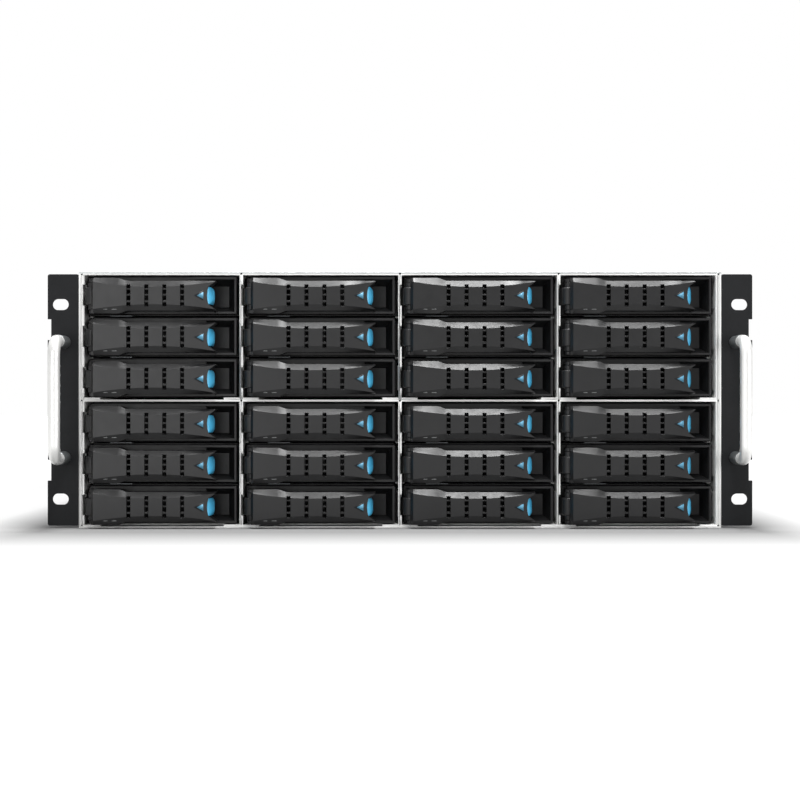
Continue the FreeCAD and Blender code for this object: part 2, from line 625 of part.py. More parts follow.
def supply(side):
    """One power supply: case with its fan opening, mains inlet, guard, pull tab and screw."""
    x0, x1 = PSU_INNER, PSU_OUTER
    y0, y1 = REAR - PSU_LENGTH, REAR
    z0, z1 = PSU_BOTTOM, PSU_BOTTOM + PSU_HEIGHT
    sheet = PSU_SHEET
    face = block(x0, x1, y1 - sheet, y1, z0, z1)
    inner_end = block(x0, x1, y0, y0 + sheet, z0, z1)
    fan_x = x0 + FAN_FROM_INNER
    inlet_x = x0 + INLET_FROM_INNER
    fan_hole = rod(fan_x, y1 - 5, FAN_Z, FAN_OPENING_RADIUS, 10)
    inlet_hole = block(inlet_x - INLET_WIDTH / 2, inlet_x + INLET_WIDTH / 2, y1 - 5, y1 + 5,
                       INLET_Z - INLET_HEIGHT / 2, INLET_Z + INLET_HEIGHT / 2)
    intake = [slot(x0 + 14 + 19 * c, z0 + 14 + 14 * r, 14, 6, y0 - 1, y0 + 5)
              for c in range(5) for r in range(5)]
    solids = [face.cut(fan_hole).cut(inlet_hole), inner_end.cut(Part.makeCompound(intake)),
              block(x0, x1, y0 + sheet, y1 - sheet, z0, z0 + sheet),
              block(x0, x1, y0 + sheet, y1 - sheet, z1 - sheet, z1),
              block(x0, x0 + sheet, y0 + sheet, y1 - sheet, z0 + sheet, z1 - sheet),
              block(x1 - sheet, x1, y0 + sheet, y1 - sheet, z0 + sheet, z1 - sheet)]
    depth = 18.0
    half_w, half_h, wall = INLET_WIDTH / 2, INLET_HEIGHT / 2, 1.5
    back, front = y1 - sheet - depth, y1 - sheet
    solids += [
        block(inlet_x - half_w - wall, inlet_x - half_w, back, front, INLET_Z - half_h, INLET_Z + half_h),
        block(inlet_x + half_w, inlet_x + half_w + wall, back, front, INLET_Z - half_h, INLET_Z + half_h),
        block(inlet_x - half_w - wall, inlet_x + half_w + wall, back, front,
              INLET_Z + half_h, INLET_Z + half_h + wall),
        block(inlet_x - half_w - wall, inlet_x + half_w + wall, back, front,
              INLET_Z - half_h - wall, INLET_Z - half_h),
        block(inlet_x - half_w - wall, inlet_x + half_w + wall, back - 2, back,
              INLET_Z - half_h - wall, INLET_Z + half_h + wall)]
    for x, z in ((-7.0, -1.5), (0.0, 2.5), (7.0, -1.5)):
        solids.append(block(inlet_x + x - 1, inlet_x + x + 1, back, back + 12,
                            INLET_Z + z - 2, INLET_Z + z + 2))
    solids += fan_guard(fan_x, FAN_Z, y1)
    tab_z = z0 + 22.0
    solids.append(block(inlet_x - 9, inlet_x + 9, y1, y1 + 14, tab_z, tab_z + 3))
    solids.append(rod(inlet_x, y1, z0 + 10, 4.5, 7))
    frame_y = y1 - sheet - FAN_LENGTH - 7
    half = FAN_FRAME_HALF
    shroud = block(fan_x - half, fan_x + half, frame_y, y1 - sheet, FAN_Z - half, FAN_Z + half)
    shroud = shroud.cut(rod(fan_x, frame_y - 1, FAN_Z, FAN_RADIUS + 2, 60))
    strut = block(fan_x - FAN_RADIUS - 3, fan_x + FAN_RADIUS + 3, frame_y, frame_y + 2, FAN_Z - 3, FAN_Z + 3)
    solids.append(joined([shroud, strut]))
    if side > 0:
        return solids
    return [solid.mirror(vector(0, 0, 0), vector(1, 0, 0)) for solid in solids]


def fan_rotor(side):
    """Seven pitched blades on a hub, turning about Y."""
    x = side * (PSU_INNER + FAN_FROM_INNER)
    y0 = REAR - PSU_SHEET - FAN_LENGTH - 3
    hub = rod(0, 0, 0, FAN_HUB_RADIUS, FAN_LENGTH)
    pieces = [hub]
    for index in range(FAN_BLADES):
        blade = block(FAN_HUB_RADIUS - 2, FAN_RADIUS - 0.5, -0.9, 0.9, -9.5, 9.5)
        blade = blade.common(rod(0, -20, 0, FAN_RADIUS - 1, 40))
        blade.rotate(vector(0, 0, 0), vector(1, 0, 0), side * 48)
        blade.translate(vector(0, FAN_LENGTH / 2, 0))
        blade.rotate(vector(0, 0, 0), vector(0, 1, 0), index * 360 / FAN_BLADES)
        pieces.append(blade)
    rotor = joined(pieces)
    rotor.translate(vector(x, y0, FAN_Z))
    return [rotor]


def port(x, width, height, y_face):
    """A rectangular socket shell of four walls and a back, open to the rear."""
    y0 = y_face - PORT_DEPTH
    half_w, half_h, wall = width / 2, height / 2, PORT_WALL
    return [block(x - half_w - wall, x - half_w, y0, y_face, PORT_Z - half_h, PORT_Z + half_h),
            block(x + half_w, x + half_w + wall, y0, y_face, PORT_Z - half_h, PORT_Z + half_h),
            block(x - half_w - wall, x + half_w + wall, y0, y_face, PORT_Z + half_h, PORT_Z + half_h + wall),
            block(x - half_w - wall, x + half_w + wall, y0, y_face, PORT_Z - half_h - wall, PORT_Z - half_h),
            block(x - half_w - wall, x + half_w + wall, y0 - 1, y0,
                  PORT_Z - half_h - wall, PORT_Z + half_h + wall)]


def expander_module():
    """Pull-out input and output module: tray, board, chip under its heatsink, ports, plate."""
    half = EXPANDER_HALF
    y0, y1 = REAR - EXPANDER_LENGTH, REAR
    z0, z1 = EXPANDER_BOTTOM, EXPANDER_BOTTOM + EXPANDER_HEIGHT
    plate_y = y1 - 1.5
    plate = block(-half, half, plate_y, y1, z0, z1)
    openings = [(x, SAS_WIDTH, SAS_HEIGHT) for x in SAS_PORTS]
    openings.append((SERVICE_PORT_X, SERVICE_WIDTH, SERVICE_HEIGHT))
    solids = []
    for x, width, height in openings:
        reach_w, reach_h = width / 2 + PORT_WALL, height / 2 + PORT_WALL
        plate = plate.cut(block(x - reach_w, x + reach_w, plate_y - 1, y1 + 1,
                                PORT_Z - reach_h, PORT_Z + reach_h))
        solids += port(x, width, height, y1)
    vents = [slot(-78 + 13 * c, z1 - 9, 9.5, 4.6, plate_y - 1, y1 + 1) for c in range(13)]
    plate = plate.cut(Part.makeCompound(vents))
    solids.append(plate)
    solids.append(block(-half, half, y0, plate_y, z0, z0 + SHEET))
    for side in (-1, 1):
        x0, x1 = sorted((side * half, side * (half - SHEET)))
        solids.append(block(x0, x1, y0, plate_y, z0 + SHEET, z0 + 20))
        solids.append(rod(side * (half - 9), y1, z0 + 10, 4.5, 7))
    solids.append(block(-half + 6, half - 6, y0 + 4, plate_y - PORT_DEPTH - 4, z0 + 5, z0 + 6.6))
    sink_x, sink_y = -20.0, y0 + 110
    heatsink = [block(sink_x, sink_x + 40, sink_y, sink_y + 40, z0 + 6.6, z0 + 12)]
    for index in range(8):
        x = sink_x + index * 5.3
        heatsink.append(block(x, x + 1.6, sink_y, sink_y + 40, z0 + 12, z0 + 26))
    solids.append(joined(heatsink))
    solids.append(block(56, 76, y1, y1 + 12, z0 + 20, z0 + 23))
    return solids


def placed(solids, x, z):
    """Copies of a bay's solids, moved to the bay."""
    copies = []
    for solid in solids:
        moved = solid.copy()
        moved.translate(vector(x, 0, z))
        copies.append(moved)
    return copies


def main():
    os.makedirs("parts", exist_ok=True)
    write("chassis_base", chassis_base())
    write("top_cover", top_cover())
    write("drive_cage", drive_cage())
    write("rack_ears", rack_ears())
    write("bar_handles", bar_handles())
    write("backplane", backplane())
    write("expander_module", expander_module())
    for name, side in (("left", -1), ("right", 1)):
        write(f"psu_{name}", supply(side))
        write(f"psu_fan_{name}", fan_rotor(side))
    carrier_solids, lever_solids, button = carrier(), lever(), latch()
    for row in range(1, ROWS + 1):
        for column in range(1, COLUMNS + 1):
            x, z = bay_left(column), bay_middle(row)
            lever_z = z - LEVER_DROP
            place = f"r{row}_c{column}"
            write(f"carrier_{place}", placed(carrier_solids, x, z))
            if (row, column) == (1, 1):
                write(f"lever_{place}", placed(lever_solids, x, lever_z))
                write(f"latch_{place}", placed([button], x, lever_z))
            else:
                write(f"lever_{place}", placed(lever_solids + [button], x, lever_z))


main()
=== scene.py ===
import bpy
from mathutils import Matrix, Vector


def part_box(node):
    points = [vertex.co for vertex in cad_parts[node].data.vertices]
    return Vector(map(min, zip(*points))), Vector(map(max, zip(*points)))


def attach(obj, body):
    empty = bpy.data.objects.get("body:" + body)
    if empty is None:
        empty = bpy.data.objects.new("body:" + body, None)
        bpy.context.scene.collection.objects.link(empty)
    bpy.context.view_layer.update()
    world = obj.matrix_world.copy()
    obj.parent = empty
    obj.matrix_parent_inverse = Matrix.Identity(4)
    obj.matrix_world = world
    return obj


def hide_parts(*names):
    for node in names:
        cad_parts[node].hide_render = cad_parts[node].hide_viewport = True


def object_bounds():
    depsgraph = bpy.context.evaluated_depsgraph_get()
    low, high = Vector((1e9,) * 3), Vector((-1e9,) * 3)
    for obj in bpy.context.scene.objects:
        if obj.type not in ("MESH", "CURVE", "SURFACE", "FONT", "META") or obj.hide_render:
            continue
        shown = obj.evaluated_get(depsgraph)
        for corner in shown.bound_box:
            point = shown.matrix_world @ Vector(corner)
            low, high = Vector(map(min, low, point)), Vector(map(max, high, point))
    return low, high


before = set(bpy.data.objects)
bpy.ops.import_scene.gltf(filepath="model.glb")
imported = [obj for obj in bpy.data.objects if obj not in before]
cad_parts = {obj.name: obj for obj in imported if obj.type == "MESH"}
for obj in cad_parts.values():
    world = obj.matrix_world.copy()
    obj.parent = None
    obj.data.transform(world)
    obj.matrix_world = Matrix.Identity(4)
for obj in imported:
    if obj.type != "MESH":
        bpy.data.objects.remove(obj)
"""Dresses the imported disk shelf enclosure.

The solids come from the frame and keep their place and size. This script gives each one its
finish, and models the pieces whose looks need more than a plain solid: lever mouldings, latch
buttons, pull handles and small trim. Shapes are worked out in millimetres and turned to metres
where a mesh is made.
"""
import logging
import math
from collections.abc import Callable, Iterable
from dataclasses import dataclass, field
from enum import Enum

import bpy
import numpy as np
from mathutils import Vector

LOG = logging.getLogger("disk_shelf")
MM = 0.001
QUARTER = math.pi / 2
# The two axes across each of X, Y and Z, in right-handed order.
ACROSS = ((1, 2), (2, 0), (0, 1))
BOX_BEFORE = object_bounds()
Material = bpy.types.Material
Node = bpy.types.Node
Piece = bpy.types.Object
Socket = bpy.types.NodeSocket
Tree = bpy.types.NodeTree
Point = tuple[float, float, float]
Range = tuple[float, float]
Test = Callable[[np.ndarray], np.ndarray]
Rule = tuple[Material, Test]


class Side(Enum):
    """A side of the chassis, as the sign of X."""

    LEFT = -1
    RIGHT = 1


# ---- Shapes ----
@dataclass
class Shape:
    """A surface in millimetres: its points as an (n, 3) array, and its faces as index lists."""

    points: np.ndarray
    faces: list[list[int]] = field(default_factory=list)

    def moved(self, offset: Point) -> "Shape":
        """The same surface, shifted."""
        return Shape(self.points + np.asarray(offset, float), self.faces)

    def __add__(self, other: "Shape") -> "Shape":
        """Both surfaces in one."""
        shift = len(self.points)
        faces = self.faces + [[index + shift for index in face] for face in other.faces]
        return Shape(np.vstack([self.points, other.points]), faces)


def joined(parts: Iterable[Shape]) -> Shape:
    """Any number of surfaces in one."""
    return sum(parts, Shape(np.zeros((0, 3))))


def grid(points: np.ndarray, keep: np.ndarray | None = None, ring: bool = False) -> Shape:
    """Surface over a grid of points: each cell of four neighbours becomes a face.

    Args:
        points: (rows, columns, 3) array. Faces point along (next row) x (next column).
        keep: which cells become faces, or all of them.
        ring: whether the last column joins the first.

    Returns:
        The surface.
    """
    rows, columns = points.shape[:2]
    index = np.arange(rows * columns).reshape(rows, columns)
    if ring:
        index = np.hstack([index, index[:, :1]])
    cells = np.stack([index[:-1, :-1], index[1:, :-1], index[1:, 1:], index[:-1, 1:]], axis=-1)
    chosen = cells.reshape(-1, 4) if keep is None else cells[keep]
    return Shape(points.reshape(-1, 3), chosen.tolist())


def sleeve(rings: np.ndarray, caps: bool = True) -> Shape:
    """Surface through a row of rings, its faces outwards.

    Args:
        rings: (rings, points, 3) array, each ring anticlockwise as seen from the last one.
        caps: whether the first and the last ring get a face; not where they are a single point.

    Returns:
        The surface.
    """
    wall = grid(rings, ring=True)
    faces = [face[::-1] for face in wall.faces]
    if caps:
        count = rings.shape[1]
        last = (rings.shape[0] - 1) * count
        faces += [list(range(count))[::-1], list(range(last, last + count))]
    return Shape(wall.points, faces)


def extruded(outline: np.ndarray, low: float, high: float, axis: int) -> Shape:
    """A closed outline carried straight along one axis, with both ends capped.

    Args:
        outline: (n, 2) points in the other two axes, anticlockwise seen from the axis's
            positive end.
        low: where the extrusion starts on the axis.
        high: where it ends.
        axis: 0, 1 or 2 for X, Y or Z.

    Returns:
        The closed surface.
    """
    points = np.zeros((2, len(outline), 3))
    points[:, :, ACROSS[axis]] = outline
    points[0, :, axis], points[1, :, axis] = low, high
    return sleeve(points)


def brick(low: Point, high: Point) -> Shape:
    """A box between two corners, for small hard pieces whose edges a bevel then rounds."""
    (x0, y0, z0), (x1, y1, z1) = low, high
    return extruded(np.array([(x0, y0), (x1, y0), (x1, y1), (x0, y1)]), z0, z1, 2)


def turned(profile: np.ndarray, centre: Point, axis: int, sides: int = 32) -> Shape:
    """A profile of (radius, height) points spun round an axis; it starts and ends at radius 0.

    Args:
        profile: points from the low end to the high end of the axis.
        centre: the place of height 0.
        axis: 0, 1 or 2 for X, Y or Z.
        sides: steps round the axis.

    Returns:
        The surface of revolution.
    """
    angle = np.linspace(0, 2 * math.pi, sides, endpoint=False)
    first, second = ACROSS[axis]
    points = np.zeros((len(profile), sides, 3))
    points[..., first] = profile[:, :1] * np.cos(angle)
    points[..., second] = profile[:, :1] * np.sin(angle)
    points[..., axis] = profile[:, 1:]
    return sleeve(points, caps=False).moved(centre)


def barrel(radius: float, half: float, chamfer: float = 0.0) -> np.ndarray:
    """Profile of a round bar about its middle, for turned.

    Args:
        radius: of the bar.
        half: half its length.
        chamfer: how much is cut off both rims, at 45 degrees.

    Returns:
        (radius, height) points.
    """
    rim = [(radius, half - chamfer), (radius - chamfer, half)] if chamfer else [(radius, half)]
    upper = np.array([*rim, (0, half)])
    return np.vstack([upper[::-1] * (1, -1), upper])


def tube(path: np.ndarray, radius: float, sides: int = 24) -> Shape:
    """A round profile carried along an open path: a circle across each point's tangent.

    Args:
        path: (n, 3) points.
        radius: of the tube.
        sides: points round the circle.

    Returns:
        The closed surface.
    """
    tangent = np.gradient(path, axis=0)
    tangent /= np.linalg.norm(tangent, axis=1, keepdims=True)
    plane = np.linalg.svd(path - path.mean(0))[2][2]
    across = np.cross(tangent, plane)
    across /= np.linalg.norm(across, axis=1, keepdims=True)
    over = np.cross(tangent, across)
    angle = np.linspace(0, 2 * math.pi, sides, endpoint=False)[None, :, None]
    circle = np.cos(angle) * across[:, None] + np.sin(angle) * over[:, None]
    return sleeve(path[:, None] + radius * circle)


@dataclass(frozen=True)
class Edge:
    """How the edges of a piece are rounded.

    The bevel's width is in millimetres, and steps is how many facets cross it. Edges that turn
    by less than angle degrees stay as they are.
    """

    width: float
    steps: int = 2
    angle: float = 28.0


def rounded(piece: Piece, edge: Edge) -> None:
    """Adds the bevel that rounds a piece's edges, and normals that keep its flats flat."""
    bevel = piece.modifiers.new("rounded_edges", "BEVEL")
    bevel.width = edge.width * MM
    bevel.segments = edge.steps
    bevel.limit_method = "ANGLE"
    bevel.angle_limit = math.radians(edge.angle)
    bevel.use_clamp_overlap = True
    flats = piece.modifiers.new("flat_faces", "WEIGHTED_NORMAL")
    flats.weight = 60


def placed(name: str, data: bpy.types.ID) -> Piece:
    """A new object of the scene, at the origin."""
    piece = bpy.data.objects.new(name, data)
    bpy.context.scene.collection.objects.link(piece)
    return piece


def make(name: str, shape: Shape, finish: Material, body: str,
         edge: Edge | None = None, wall: float = 0.0) -> Piece:
    """Turns a shape into a smooth-shaded piece that rides on a body.

    Args:
        name: the piece's name.
        shape: its surface, in millimetres.
        finish: its material.
        body: the CAD body that it moves with.
        edge: rounding of its edges.
        wall: thickness given inwards, in millimetres, for an open surface.

    Returns:
        The piece, at the origin.
    """
    mesh = bpy.data.meshes.new(name)
    mesh.from_pydata((shape.points * MM).tolist(), [], shape.faces)
    mesh.polygons.foreach_set("use_smooth", np.ones(len(mesh.polygons), bool))
    mesh.materials.append(finish)
    mesh.update()
    piece = placed(name, mesh)
    if wall:
        solid = piece.modifiers.new("wall", "SOLIDIFY")
        solid.thickness = wall * MM
        solid.offset = -1
        solid.use_even_offset = True
    if edge:
        rounded(piece, edge)
    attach(piece, body)
    return piece


# ---- Finishes ----
def linear(code: str) -> tuple[float, float, float, float]:
    """An sRGB hex colour as linear red, green, blue and alpha."""
    srgb = np.array([int(code[i:i + 2], 16) / 255 for i in (1, 3, 5)])
    value = np.where(srgb <= 0.04045, srgb / 12.92, ((srgb + 0.055) / 1.055) ** 2.4)
    return (*value.tolist(), 1.0)


def add(tree: Tree, kind: str, settings: dict | None = None,
        links: dict[str | int, Socket] | None = None) -> Node:
    """Adds one node.

    Args:
        tree: where it goes.
        kind: the node's type.
        settings: socket values and node properties by name.
        links: output sockets by the input that each one feeds.

    Returns:
        The node.
    """
    node = tree.nodes.new(kind)
    for key, value in (settings or {}).items():
        if isinstance(key, int) or key in node.inputs:
            node.inputs[key].default_value = value
        else:
            setattr(node, key, value)
    for key, source in (links or {}).items():
        tree.links.new(source, node.inputs[key])
    return node


def ramp(tree: Tree, source: Socket, low: str, high: str) -> Socket:
    """A blend of two hex colours that follows a pattern, from its 0.3 to its 0.7."""
    node = add(tree, "ShaderNodeValToRGB", None, {"Fac": source})
    first, second = node.color_ramp.elements
    first.position, first.color = 0.3, linear(low)
    second.position, second.color = 0.7, linear(high)
    return node.outputs["Color"]


def scaled(tree: Tree, source: Socket, low: float, high: float) -> Socket:
    """A pattern's middle range turned to a range of values."""
    settings = {"From Min": 0.25, "From Max": 0.75, "To Min": low, "To Max": high}
    return add(tree, "ShaderNodeMapRange", settings, {"Value": source}).outputs["Result"]


def bare(owner: Material | bpy.types.World) -> Tree:
    """The emptied node tree of a material or world."""
    owner.use_nodes = True
    owner.node_tree.nodes.clear()
    return owner.node_tree


def blank(name: str) -> tuple[Material, Tree, Node, Socket]:
    """A new material with its tree, its shader and Object coordinates."""
    material = bpy.data.materials.new(name)
    tree = bare(material)
    shader = add(tree, "ShaderNodeBsdfPrincipled")
    add(tree, "ShaderNodeOutputMaterial", None, {"Surface": shader.outputs["BSDF"]})
    place = add(tree, "ShaderNodeTexCoord").outputs["Object"]
    return material, tree, shader, place


def feed(tree: Tree, shader: Node, links: dict[str, Socket],
         constants: dict[str, float]) -> None:
    """Links patterns to a shader's sockets, and sets its other sockets to constants."""
    for key, source in links.items():
        tree.links.new(source, shader.inputs[key])
    for key, value in constants.items():
        shader.inputs[key].default_value = value


def noise(tree: Tree, place: Socket, size: float, detail: float = 2.0,
          stretch: Point = (1, 1, 1)) -> Socket:
    """Cloudy pattern whose blotches are about size millimetres, drawn out along stretch."""
    scale = [1 / (size * MM * s) for s in stretch]
    moved = add(tree, "ShaderNodeMapping", {"Scale": scale}, {"Vector": place}).outputs["Vector"]
    settings = {"Scale": 1.0, "Detail": detail, "Roughness": 0.55}
    return add(tree, "ShaderNodeTexNoise", settings, {"Vector": moved}).outputs["Fac"]


def bump(tree: Tree, height: Socket, depth: float) -> Socket:
    """Surface relief from a pattern, depth millimetres from its low to its high."""
    settings = {"Strength": 1.0, "Distance": depth * MM}
    return add(tree, "ShaderNodeBump", settings, {"Height": height}).outputs["Normal"]


@dataclass(frozen=True)
class Moulded:
    """Injection-moulded ABS or polycarbonate: spark-eroded grain, soft sheen, faint flow marks."""

    name: str
    colour: str
    lighter: str
    roughness: float = 0.42
    grain: float = 0.5          # mm; the real 0.1 mm grain is too fine to show
    relief: float = 0.006       # mm
    specular: float = 0.5
    flow: float = 18.0          # mm, the size of the flow marks
    smudge: float = 6.0         # mm, the size of the sheen's patches

    def material(self) -> Material:
        """Builds the material."""
        made, tree, shader, place = blank(self.name)
        flow = noise(tree, place, self.flow, 3.0)
        smudge = noise(tree, place, self.smudge, 4.0)
        grain = noise(tree, place, self.grain, 1.0)
        feed(tree, shader, {
            "Base Color": ramp(tree, flow, self.colour, self.lighter),
            "Roughness": scaled(tree, smudge, self.roughness - 0.04, self.roughness + 0.05),
            "Normal": bump(tree, grain, self.relief),
        }, {"IOR": 1.5, "Specular IOR Level": self.specular})
        return made


@dataclass(frozen=True)
class ZincSheet:
    """Electro-galvanised sheet steel: bright grey, faintly mottled, with fine rolling lines."""

    name: str
    colour: str
    darker: str
    roughness: float = 0.36
    metallic: float = 1.0
    mottle: float = 9.0         # mm, the size of the crystals' blotches
    rolling: Point = (1, 40, 1)
    line: float = 0.6           # mm across the rolling lines
    relief: float = 0.002       # mm

    def material(self) -> Material:
        """Builds the material."""
        made, tree, shader, place = blank(self.name)
        blotch = noise(tree, place, self.mottle, 4.0)
        lines = noise(tree, place, self.line, 2.0, self.rolling)
        mix = add(tree, "ShaderNodeMix", {"data_type": "FLOAT", "Factor": 0.5},
                  {"A": blotch, "B": lines}).outputs["Result"]
        feed(tree, shader, {
            "Base Color": ramp(tree, blotch, self.darker, self.colour),
            "Roughness": scaled(tree, mix, self.roughness - 0.03, self.roughness + 0.03),
            "Normal": bump(tree, lines, self.relief),
        }, {"Metallic": self.metallic})
        return made


@dataclass(frozen=True)
class PowderCoat:
    """Baked powder paint: matt, with the small soft pebbles that melted powder leaves."""

    name: str
    colour: str
    lighter: str
    roughness: float = 0.6
    specular: float = 0.25
    pebble: float = 0.7         # mm
    relief: float = 0.03        # mm
    cloud: float = 14.0         # mm, the size of the colour's patches

    def material(self) -> Material:
        """Builds the material."""
        made, tree, shader, place = blank(self.name)
        cloud = noise(tree, place, self.cloud, 3.0)
        pebbles = noise(tree, place, self.pebble, 2.0)
        feed(tree, shader, {
            "Base Color": ramp(tree, cloud, self.colour, self.lighter),
            "Roughness": scaled(tree, pebbles, self.roughness - 0.08, self.roughness + 0.08),
            "Normal": bump(tree, pebbles, self.relief),
        }, {"Specular IOR Level": self.specular})
        return made


@dataclass(frozen=True)
class Metal:
    """Bare or plated metal with a directional grain, such as a drawn bar, wire or stamping."""

    name: str
    colour: str
    darker: str
    roughness: float = 0.25
    metallic: float = 1.0
    grain: float = 0.5          # mm across the grain
    stretch: Point = (1, 1, 30)
    relief: float = 0.002       # mm
    cloud: float = 12.0         # mm, the size of the colour's patches

    def material(self) -> Material:
        """Builds the material."""
        made, tree, shader, place = blank(self.name)
        cloud = noise(tree, place, self.cloud, 3.0)
        lines = noise(tree, place, self.grain, 2.0, self.stretch)
        feed(tree, shader, {
            "Base Color": ramp(tree, cloud, self.darker, self.colour),
            "Roughness": scaled(tree, lines, self.roughness - 0.05, self.roughness + 0.06),
            "Normal": bump(tree, lines, self.relief),
        }, {"Metallic": self.metallic})
        return made


@dataclass(frozen=True)
class Board:
    """Glass-fibre board under solder mask: copper tracks show as slightly raised, lighter lines."""

    name: str
    mask: str
    track: str
    pitch: float = 2.54         # mm between tracks
    relief: float = 0.03        # mm

    def material(self) -> Material:
        """Builds the material."""
        made, tree, shader, place = blank(self.name)
        mask = linear(self.mask)
        settings = {"Scale": 1 / (self.pitch * MM), "Mortar Size": 0.09, "Brick Width": 6.0,
                    "Row Height": 1.0, "Color1": mask, "Color2": mask,
                    "Mortar": linear(self.track)}
        turn = add(tree, "ShaderNodeMapping", {"Rotation": (QUARTER, 0, 0)}, {"Vector": place})
        tracks = add(tree, "ShaderNodeTexBrick", settings, {"Vector": turn.outputs["Vector"]})
        feed(tree, shader, {
            "Base Color": tracks.outputs["Color"],
            "Normal": bump(tree, tracks.outputs["Fac"], self.relief),
        }, {"Roughness": 0.35})
        return made


class Finishes:
    """Every material of the shelf, by the name of what it is."""

    def __init__(self) -> None:
        """Builds each finish once."""
        even, along_y, along_z = (1, 1, 1), (1, 40, 1), (1, 1, 40)
        self.cage = ZincSheet("bright_zinc_plated_steel", "#F8F8F6", "#F1F1EF",
                              0.40, 0.12, 7.0).material()
        self.pan = ZincSheet("galvanised_sheet_steel", "#BEC1C1", "#B4B8B8",
                             0.42, 0.9, 6.0).material()
        self.module = ZincSheet("zinc_plated_module_steel", "#C9CBCB", "#B2B5B6",
                                0.36, 1.0, 8.0, along_z).material()
        self.ear = PowderCoat("black_powder_coat", "#121315", "#17181A").material()
        self.bar = Metal("satin_aluminium_bar", "#FAFAF8", "#F4F4F2", 0.32, 0.6).material()
        self.lever = Moulded("black_abs_lever", "#151516", "#1A1A1B", 0.34).material()
        self.bezel = Moulded("black_abs_bezel", "#141415", "#1A1A1B", 0.42,
                             specular=0.45).material()
        self.latch = Moulded("blue_polycarbonate", "#46AEDC", "#55B9E4",
                             0.18, 0.8, 0.002).material()
        self.ink = Moulded("blue_pad_print_ink", "#4F8AA8", "#5A97B4",
                           0.45, 0.6, 0.002).material()
        self.halo = Moulded("dark_blue_pad_print_ink", "#0C1216", "#10181D",
                            0.65, 0.6, 0.002).material()
        self.lens = Moulded("clouded_polycarbonate_lens", "#6E7070", "#7A7C7C",
                            0.3, 0.8, 0.001).material()
        self.black_plastic = Moulded("black_nylon", "#18181A", "#1F1F21", 0.5).material()
        self.green_plastic = Moulded("green_nylon_tab", "#2E7D4B", "#378A56", 0.45).material()
        self.casting = Metal("die_cast_aluminium", "#B9BBBC", "#A4A7A8",
                             0.48, 1.0, 1.4, even).material()
        self.lid = Metal("stamped_aluminium_lid", "#C8CACB", "#BABDBE",
                         0.33, 1.0, 0.4, along_y).material()
        self.wire = Metal("nickel_plated_wire", "#DADADA", "#C8C8C8", 0.18).material()
        # mid grey of the carrier stops: painted shade on zinc sheet tabs
        self.stop_shade_grey = Metal("stop_grey_painted_shade", "#6E7173", "#626567", 0.36, 0.6).material()
        # dark grey of the handle collars: a painted reflection of the black ears in the bars' legs
        self.collar = Metal("collar_grey_painted_reflection", "#6C6F70", "#626566", 0.34, 0.6).material()
        self.black_anodised = Metal("black_anodised_aluminium", "#232425", "#1D1E1F",
                                    0.4, 0.7).material()
        # near black for the sheet holes and screw recesses: painted shade where there is only depth
        self.hollow = Moulded("unlit_recess", "#060606", "#080808", 0.7,
                              specular=0.1).material()
        self.brass = Metal("nickel_brass_pin", "#D8CFA8", "#C9BE93", 0.25).material()
        self.board = Board("green_solder_mask", "#0F4A2C", "#1B6A41").material()


def paint(node: str, default: Material, rules: list[Rule]) -> None:
    """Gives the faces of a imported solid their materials.

    Args:
        node: the CAD node.
        default: the material of every face that no rule takes.
        rules: materials with a test of face centres, an (n, 3) array in millimetres; later
            rules win.
    """
    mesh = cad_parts[node].data
    count = len(mesh.polygons)
    centres = np.zeros(count * 3)
    mesh.polygons.foreach_get("center", centres)
    centres = centres.reshape(-1, 3) / MM
    chosen = np.zeros(count, np.int32)
    mesh.materials.clear()
    mesh.materials.append(default)
    for index, (material, test) in enumerate(rules, start=1):
        mesh.materials.append(material)
        chosen[test(centres)] = index
    mesh.polygons.foreach_set("material_index", chosen)
    mesh.polygons.foreach_set("use_smooth", np.ones(count, bool))


SLACK = 0.01  # mm that a face's centre may lie outside a test's block


def within(x: Range, y: Range, z: Range, both_sides: bool = True) -> Test:
    """A test of face centres against a block, in millimetres.

    Args:
        x: the block's lowest and highest X, or distance from the middle.
        y: its lowest and highest Y.
        z: its lowest and highest Z.
        both_sides: whether X is the distance from the middle plane.

    Returns:
        The test.
    """
    low, high = np.array([x, y, z]).T + [[-SLACK], [SLACK]]

    def test(centres: np.ndarray) -> np.ndarray:
        """Whether each centre lies in the block."""
        place = centres.copy()
        if both_sides:
            place[:, 0] = np.abs(place[:, 0])
        return np.all((place > low) & (place < high), axis=1)

    return test


def about(x: float, z: float, radius: float, y: Range, both_sides: bool = True) -> Test:
    """A test of face centres against a round bar along Y; see within for the arguments."""
    block = within((x - radius, x + radius), y, (z - radius, z + radius), both_sides)

    def test(centres: np.ndarray) -> np.ndarray:
        """Whether each centre lies in the bar."""
        across = np.abs(centres[:, 0]) if both_sides else centres[:, 0]
        return block(centres) & (np.hypot(across - x, centres[:, 2] - z) <= radius + SLACK)

    return test


def softened(node: str, edge: Edge, flats: bool = True) -> None:
    """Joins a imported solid's loose triangles and rounds its edges, as modifiers.

    Args:
        node: the CAD node.
        edge: rounding of its edges.
        flats: whether flat areas become single faces first; not where one has an opening that
            reaches its corner.
    """
    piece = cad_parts[node]
    weld = piece.modifiers.new("joined_faces", "WELD")
    weld.merge_threshold = 0.004 * MM
    if flats:
        flat = piece.modifiers.new("flat_areas", "DECIMATE")
        flat.decimate_type = "DISSOLVE"
        flat.angle_limit = math.radians(0.6)
        flat.delimit = {"MATERIAL"}
    rounded(piece, edge)


def span(node: str) -> tuple[np.ndarray, np.ndarray]:
    """A CAD node's lowest and highest corner, in millimetres."""
    low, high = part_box(node)
    return np.array(low) / MM, np.array(high) / MM


